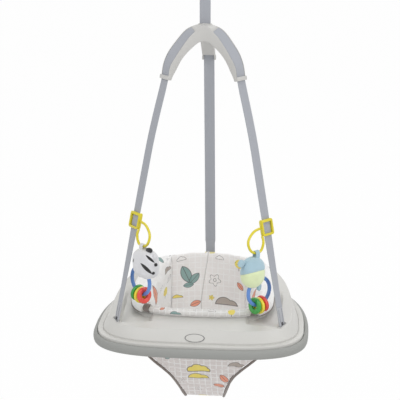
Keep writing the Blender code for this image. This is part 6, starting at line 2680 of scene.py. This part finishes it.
@dataclass
class Toy:
    """A stuffed toy on its slide clip and hook, with its ring and three discs."""

    side: Side
    straps: LowerStraps
    clip_height_at: float
    half: tuple[float, float, float]
    drop: float
    ring_drop: float
    clip_size: tuple[float, float, float] = (0.0335, 0.0385, 0.0096)
    hook_wire: float = 0.0031
    hook_reach: float = 0.0660
    hook_drop: float = 0.0505
    hook_forward: float = 0.0130
    reach: float = 0.0536
    ring_reach: float = 0.0335
    ring_radius: float = 0.0330
    ring_wire: float = 0.0045
    disc_radius: float = 0.0200
    disc_hole: float = 0.0078
    disc_thickness: float = 0.0094
    disc_spread_degrees: float = 21.5
    disc_tilt_degrees: float = 8.0
    clip_window_half: float = 0.0126
    clip_slot_half: float = 0.0014
    tape_width: float = 0.0110
    tape_thickness: float = 0.0018

    REACHES = (0.27, 0.58, 0.84, 1.0, 0.99, 0.86, 0.65, 0.45, 0.355, 0.29, 0.26)
    DROPS = (-0.03, 0.02, 0.16, 0.38, 0.65, 0.88, 1.0, 0.96, 0.77, 0.54, 0.30)
    FORWARDS = (0.0, 0.15, 0.5, 0.8, 1.0, 1.0, 1.0, 1.0, 1.0, 0.8, 0.2)

    def __post_init__(self) -> None:
        """Find the toy's frames on its strap."""
        tip, along, level, _ = self.straps.line(self.side)
        self.centre = tip + along * ((self.clip_height_at - tip.z) / along.z)
        across = level * self.side.value
        self.tilted = Matrix((across, (-along).cross(across), -along)).transposed()
        self.turned = self.straps.upright(self.side)
        self.hook = [Vector((-self.side.value * self.hook_reach * r, -self.hook_forward * f,
                             -self.hook_drop * d))
                     for r, f, d in zip(self.REACHES, self.FORWARDS, self.DROPS)]
        coarse = spline(self.hook, 2)
        self.hang = min(coarse, key=lambda point: point.z)
        self.middle = Vector((-self.side.value * self.reach, -self.hook_forward, -self.drop))

    def put(self, obj: Object, body: str, slot: str, nodes: tuple[str, ...], finish: Finish,
            upright: bool = True, degrees: float = 60.0) -> Object:
        """Turn a piece from the toy's own frame to the seat's and settle it.

        Args:
            obj: The piece.
            body: The body it moves with.
            slot: The record's finish slot.
            nodes: The CAD nodes it replaces.
            finish: Its finish.
            upright: Whether it keeps the toy's upright frame.
            degrees: The angle under which edges are smooth.

        Returns:
            The settled piece.
        """
        turn = self.turned if upright else self.tilted
        obj.matrix_world = Matrix.Translation(self.centre) @ turn.to_4x4() @ obj.matrix_world
        return Berth(body, slot, nodes, smooth_degrees=degrees).take(obj, finish.material())

    def build(self) -> None:
        """Make the clip with its hook, the toy, its ring and its discs."""
        self._clip()
        self._loop()
        if self.side is Side.LEFT:
            self._striped()
        else:
            self._two_tone()
        self._ring()

    def _clip(self) -> None:
        """Make the slide clip, its windows and the hook moulded on it."""
        word = self.side.word
        wide, tall, deep = self.clip_size
        frame_plate = Bench.slab("clip_plate", rounded_rectangle(wide, tall, wide / 6), deep, 0.0016)
        frame_plate.data.transform(Matrix.Rotation(math.pi / 2, 4, "X"))
        inner, gap, bar = self.clip_window_half, self.clip_slot_half, tall / 9
        high = tall / 2 + 0.004
        for low, far in (((-inner, -gap, -high), (inner, gap, high)),
                         ((-inner, -deep, -tall * 0.36), (inner, gap, tall * 0.33)),
                         ((-inner, -gap, bar), (inner, deep, high)),
                         ((-inner, -gap, -high), (inner, deep, -bar))):
            Bench.combine(frame_plate, "DIFFERENCE", Bench.block("clip_cut", low, far))
        Bench.rounded(frame_plate, 0.0006)
        hook = Bench.tube("hook", spline(self.hook, 10), self.hook_wire, 18)
        hook.data.transform((self.tilted.transposed() @ self.turned).to_4x4())
        clip = Bench.joined(f"clip_and_hook_{word}", [frame_plate, hook])
        self.put(clip, f"clip_{word}", "clip_yellow", (f"toy_clip_{word}",), CLIP_YELLOW, False, 40)

    def _loop(self) -> None:
        """Make the flat fabric loop from the toy's crown over the hook."""
        wire, word = 0.0019, self.side.word
        reach = self.hook_wire + wire + 0.0008
        off = abs(self.middle.x - self.hang.x)
        girth = math.hypot((off - wire) / self.half[0], (reach - wire) / self.half[1])
        foot = self.middle.z + self.half[2] * math.sin(math.acos(min(girth, 0.99) ** (1 / 0.85))) - 0.002
        arc = [self.hang + Vector((0, reach * math.cos(a), reach * math.sin(a)))
               for a in (math.pi * k / 16 for k in range(17))]
        low = Vector((self.hang.x, 0, foot))
        route = spline([low + Vector((0, self.hang.y + reach, 0)), arc[0]], 6)[:-1] + arc
        route += spline([arc[-1], low + Vector((0, self.hang.y - reach, 0))], 6)[1:]
        stations = []
        for i, point in enumerate(route):
            along = (route[min(i + 1, len(route) - 1)] - route[max(i - 1, 0)]).normalized()
            stations.append((point, ACROSS, along.cross(ACROSS).normalized()))
        tape = LowerStraps.band(f"toy_tape_{word}", stations, lambda i: self.tape_width,
                                lambda i: self.tape_thickness)
        finish, slot = (PLUSH_WHITE, "plush_white") if self.side is Side.LEFT else (PLUSH_BLUE, "plush_blue")
        self.put(tape, f"toy_{word}", slot, (f"toy_loop_{word}",), finish)

    def _stuffed(self, name: str, half: Sequence[float], at: Vector, power: float = 2.4,
                 lumps: float = 0.0012, seam: bool = True) -> Object:
        """Make a stuffed form: squarer than a ball, a little lumpy, with a sewn seam round its side.

        Args:
            name: The new object's name.
            half: The half sizes.
            at: The centre.
            power: How square it is; 2 is a ball.
            lumps: The lumps' height.
            seam: Whether it has the seam.

        Returns:
            The form.
        """
        ball = Bench.ball(name, (1, 1, 1), Vector())
        for vert in ball.data.vertices:
            unit = vert.co.normalized()
            size = sum(abs(c) ** power for c in unit) ** (-1 / power)
            place = Vector([c * h for c, h in zip(unit * size, half)])
            lump = noise.noise(place * 60 + at * 30) * lumps
            groove = 0.0012 * math.exp(-(unit.y / 0.05) ** 2) if seam else 0.0
            vert.co = at + place + unit * (lump - groove - lumps * 0.6)
        return ball

    def _limb(self, share: Sequence[float]) -> Vector:
        """Return a place on the toy from shares of its half sizes; the first share points inwards."""
        return self.middle + Vector((-self.side.value * share[0] * self.half[0], share[1] * self.half[1],
                                     share[2] * self.half[2]))

    def _striped(self) -> None:
        """Make the white toy with dark stripes, muzzle, tuft and ear."""
        body = "toy_left"
        centre = self.centre + self.turned @ self.middle + SEAT_SHIFT
        right, up, back = Studio().axes()
        finish = StripedPile("plush_striped", (226, 226, 229), 0.95, origin=centre, right=right, up=up)
        torso = self._stuffed("striped_body", self.half, self.middle, 2.9)
        skin = BVHTree.FromObject(torso, bpy.context.evaluated_depsgraph_get())
        view = [self.turned.transposed() @ axis for axis in (right, up, back)]
        self.put(torso, body, "plush_white", ("plush_body_left",), finish)
        nubs = []
        for u, v in ((0.0235, -0.0020), (0.0175, -0.0215)):
            hit = skin.ray_cast(self.middle + view[0] * u + view[1] * v + view[2] * 0.2, -view[2])[0]
            nubs.append(self._stuffed("nub", (0.0052, 0.0046, 0.0042), hit, 2.2))
        muzzle = Bench.joined("striped_muzzle", nubs)
        self.put(muzzle, body, "plush_black", ("plush_muzzle_left",), PLUSH_BLACK)
        tuft = self._stuffed("striped_tuft", (0.0105, 0.0074, 0.0064), self._limb((0.34, 0, 1.04)), 2.0)
        self.put(tuft, body, "plush_black", ("plush_tuft_left",), PLUSH_BLACK)
        ear = self._stuffed("striped_ear", (0.0060, 0.0052, 0.0076), self._limb((0.88, 0.10, 0.66)), 2.0)
        self.put(ear, body, "plush_white", ("plush_ear_left",), PLUSH_WHITE)

    def _two_tone(self) -> None:
        """Make the blue and green toy with its ear and foot."""
        body = "toy_right"
        right, up, _ = Studio().axes()
        lean = (self.turned.transposed() @ (up * 0.975 - right * 0.22)).normalized()
        for name, sign, node, finish in (("two_tone_head", 1, "plush_head_right", PLUSH_BLUE),
                                         ("two_tone_belly", -1, "plush_belly_right", PLUSH_GREEN)):
            piece = self._stuffed(name, self.half, self.middle)
            Bench.pick(piece)
            bpy.ops.object.mode_set(mode="EDIT")
            bpy.ops.mesh.select_all(action="SELECT")
            spot = self.middle + lean * sign * 0.00015
            bpy.ops.mesh.bisect(plane_co=spot, plane_no=lean, use_fill=True,
                                clear_inner=sign > 0, clear_outer=sign < 0)
            bpy.ops.object.mode_set(mode="OBJECT")
            for vert in piece.data.vertices:
                near = math.exp(-((vert.co - spot).dot(lean) / 0.0022) ** 2)
                flat = Vector((vert.co.x - self.middle.x, vert.co.y - self.middle.y, 0))
                vert.co -= flat.normalized() * 0.0012 * near if flat.length > 1e-6 else Vector()
            self.put(piece, body, finish.name, (node,), finish, degrees=50)
        ear = self._stuffed("two_tone_ear", (0.0105, 0.0062, 0.0095), self._limb((1.06, 0.10, 0.76)), 2.2)
        self.put(ear, body, "plush_blue", ("plush_ear_right",), PLUSH_BLUE)
        foot = self._stuffed("two_tone_foot", (0.0068, 0.0053, 0.0105), self._limb((-0.65, 0, -1.10)), 2.2)
        self.put(foot, body, "plush_blue", ("plush_foot_right",), PLUSH_BLUE)

    def _ring(self) -> None:
        """Make the blue ring and the three discs on it."""
        word = self.side.word
        centre = Vector((-self.side.value * self.ring_reach, -self.hook_forward, -self.ring_drop))
        path = [centre + self.ring_radius * Vector((math.sin(a), 0, math.cos(a))) for a in turns(72)]
        ring = Bench.tube(f"teething_ring_{word}", path, self.ring_wire, 20, closed=True)
        self.put(ring, f"ring_{word}", "ring_blue", (f"blue_ring_{word}",), RING_BLUE)
        sag = self.disc_hole - self.ring_wire - RUNNING_GAP
        colours = ("red", "yellow", "green") if self.side is Side.LEFT else ("green", "yellow", "red")
        for place, colour in zip((1, 0, -1), colours):
            angle = -self.side.value * place * math.radians(self.disc_spread_degrees)
            tilt = -self.side.value * place * math.radians(self.disc_tilt_degrees)
            where = centre + Vector((self.ring_radius * math.sin(angle), 0,
                                     -self.ring_radius * math.cos(angle) - sag))
            disc = Bench.spun(f"teething_disc_{colour}_{word}", self._disc_profile(), 56)
            disc.matrix_world = Matrix.Translation(where) @ Matrix.Rotation(math.pi / 2 - tilt, 4, "Y")
            node = f"disc_{colour}_{word}"
            self.put(disc, node, f"disc_{colour}", (node,), DISCS[colour])

    def _disc_profile(self) -> list[tuple[float, float]]:
        """Return a disc's section: a fat ring with a shallow step round its hole.

        Returns:
            The section, as radius and height.
        """
        middle = (self.disc_radius + self.disc_hole) / 2
        half = (self.disc_radius - self.disc_hole) / 2
        points = []
        for a in turns(28):
            c, s = math.cos(a), math.sin(a)
            dish = 1 - 0.16 * math.exp(-((c + 0.35) / 0.22) ** 2)
            points.append((middle + half * math.copysign(abs(c) ** 0.8, c),
                           self.disc_thickness / 2 * math.copysign(abs(s) ** 0.8, s) * dish))
        return points


# Studio


@dataclass
class Studio:
    """The camera at the photograph's angle, the floor, the plain surroundings and the lamps."""

    azimuth: float = 5.0
    elevation: float = 18.0
    distance: float = 3.62
    target: tuple[float, float, float] = (-0.012, 0.0, 0.290)
    focal_pixels: float = 1506.0
    frame_pixels: float = 400.0
    floor_z: float = -1.75

    def build(self) -> None:
        """Set the whole studio up."""
        self._camera()
        self._stage()
        self._lamp("key_lamp", (-1.2, -2.2, 2.2), 2.0, 34.0)
        self._lamp("fill_lamp", (2.6, -1.4, 1.0), 2.4, 28.0)
        self._lamp("back_lamp", (0.3, 2.4, 1.4), 2.2, 12.0)
        self._world()
        scene = bpy.context.scene
        scene.view_settings.view_transform = "Standard"

    def axes(self) -> tuple[Vector, Vector, Vector]:
        """Return the view's right, up and back directions.

        Returns:
            The three directions.
        """
        a, e = math.radians(self.azimuth), math.radians(self.elevation)
        back = Vector((math.sin(a) * math.cos(e), -math.cos(a) * math.cos(e), math.sin(e)))
        right = Vector((math.cos(a), math.sin(a), 0))
        return right, back.cross(right), back

    def _camera(self) -> None:
        """Place the camera where the photograph was taken from."""
        back = self.axes()[2]
        data = bpy.data.cameras.new("camera")
        data.sensor_width = 36.0
        data.lens = self.focal_pixels * data.sensor_width / self.frame_pixels
        data.clip_start, data.clip_end = 0.05, 60.0
        camera = bpy.data.objects.new("camera", data)
        bpy.context.scene.collection.objects.link(camera)
        camera.location = Vector(self.target) + SEAT_SHIFT + back * self.distance
        camera.rotation_mode = "QUATERNION"
        camera.rotation_quaternion = (-back).to_track_quat("-Z", "Y")
        bpy.context.scene.camera = camera

    def _stage(self) -> None:
        """Make the pale floor, which reads as white from the camera but keeps its shadows."""
        bpy.ops.object.select_all(action="DESELECT")
        bpy.ops.mesh.primitive_plane_add(size=30.0, location=(0, 0, self.floor_z))
        floor = Bench.named("studio_floor")
        made = bpy.data.materials.new("floor_white")
        made.use_nodes = True
        tree = Tree(made.node_tree)
        shader = made.node_tree.nodes["Principled BSDF"]
        shader.inputs["Base Color"].default_value = (0.90, 0.90, 0.90, 1)
        shader.inputs["Roughness"].default_value = 0.9
        glow = tree.add("Emission", {"Color": (1, 1, 1, 1), "Strength": 1.0})
        path = tree.add("LightPath")
        seen = tree.math("MAXIMUM", path.outputs["Is Camera Ray"], path.outputs["Is Glossy Ray"])
        share = tree.times(seen, 0.97)
        blend = tree.add("MixShader", {0: share, 1: shader.outputs[0], 2: glow.outputs[0]})
        output = made.node_tree.nodes["Material Output"]
        tree.feed(output.inputs["Surface"], blend.outputs[0])
        floor.data.materials.append(made)

    @staticmethod
    def _lamp(name: str, place: Sequence[float], size: float, power: float) -> None:
        """Hang a soft square lamp that looks at the jumper.

        Args:
            name: The lamp's name.
            place: Where it hangs.
            size: The side of its square.
            power: Its power in watts.
        """
        data = bpy.data.lights.new(name, "AREA")
        data.shape, data.size, data.energy = "SQUARE", size, power
        lamp = bpy.data.objects.new(name, data)
        bpy.context.scene.collection.objects.link(lamp)
        lamp.location = place
        aim = Vector((0, 0, -0.85)) - lamp.location
        lamp.rotation_mode = "QUATERNION"
        lamp.rotation_quaternion = aim.to_track_quat("-Z", "Y")

    @staticmethod
    def _world() -> None:
        """Light the jumper evenly, and show white where the camera or a reflection looks past it."""
        world = bpy.data.worlds.new("studio")
        bpy.context.scene.world = world
        world.use_nodes = True
        nodes = world.node_tree.nodes
        nodes.clear()
        tree = Tree(world.node_tree)
        soft = tree.add("Background", {"Color": (1, 1, 1, 1), "Strength": 0.66})
        white = tree.add("Background", {"Color": (1, 1, 1, 1), "Strength": 1.0})
        path = tree.add("LightPath")
        seen = tree.math("MAXIMUM", path.outputs["Is Camera Ray"],
                         tree.math("MAXIMUM", path.outputs["Is Glossy Ray"],
                                    path.outputs["Is Transmission Ray"]))
        blend = tree.add("MixShader", {0: seen, 1: soft.outputs[0], 2: white.outputs[0]})
        output = tree.add("OutputWorld")
        tree.feed(output.inputs["Surface"], blend.outputs[0])


def main() -> None:
    """Build the studio and the jumper's sub-assemblies in order."""
    logging.basicConfig(level=logging.INFO, format="%(message)s")
    Studio().build()
    hub = Hub()
    straps = LowerStraps(hub, Hub(half_span=0.0940, arch_height=0.1110))
    tray = Tray()
    tray.build(straps)
    Bumper().build()
    hub.build()
    straps.build(tray)
    TopAssembly().build()
    SeatPads(tray).build()
    Toy(Side.LEFT, straps, 0.276, (0.0350, 0.0240, 0.0350), 0.0903, 0.1385).build()
    Toy(Side.RIGHT, straps, 0.268, (0.0310, 0.0240, 0.0375), 0.0953, 0.1475).build()


if __name__ == "__main__":
    main()
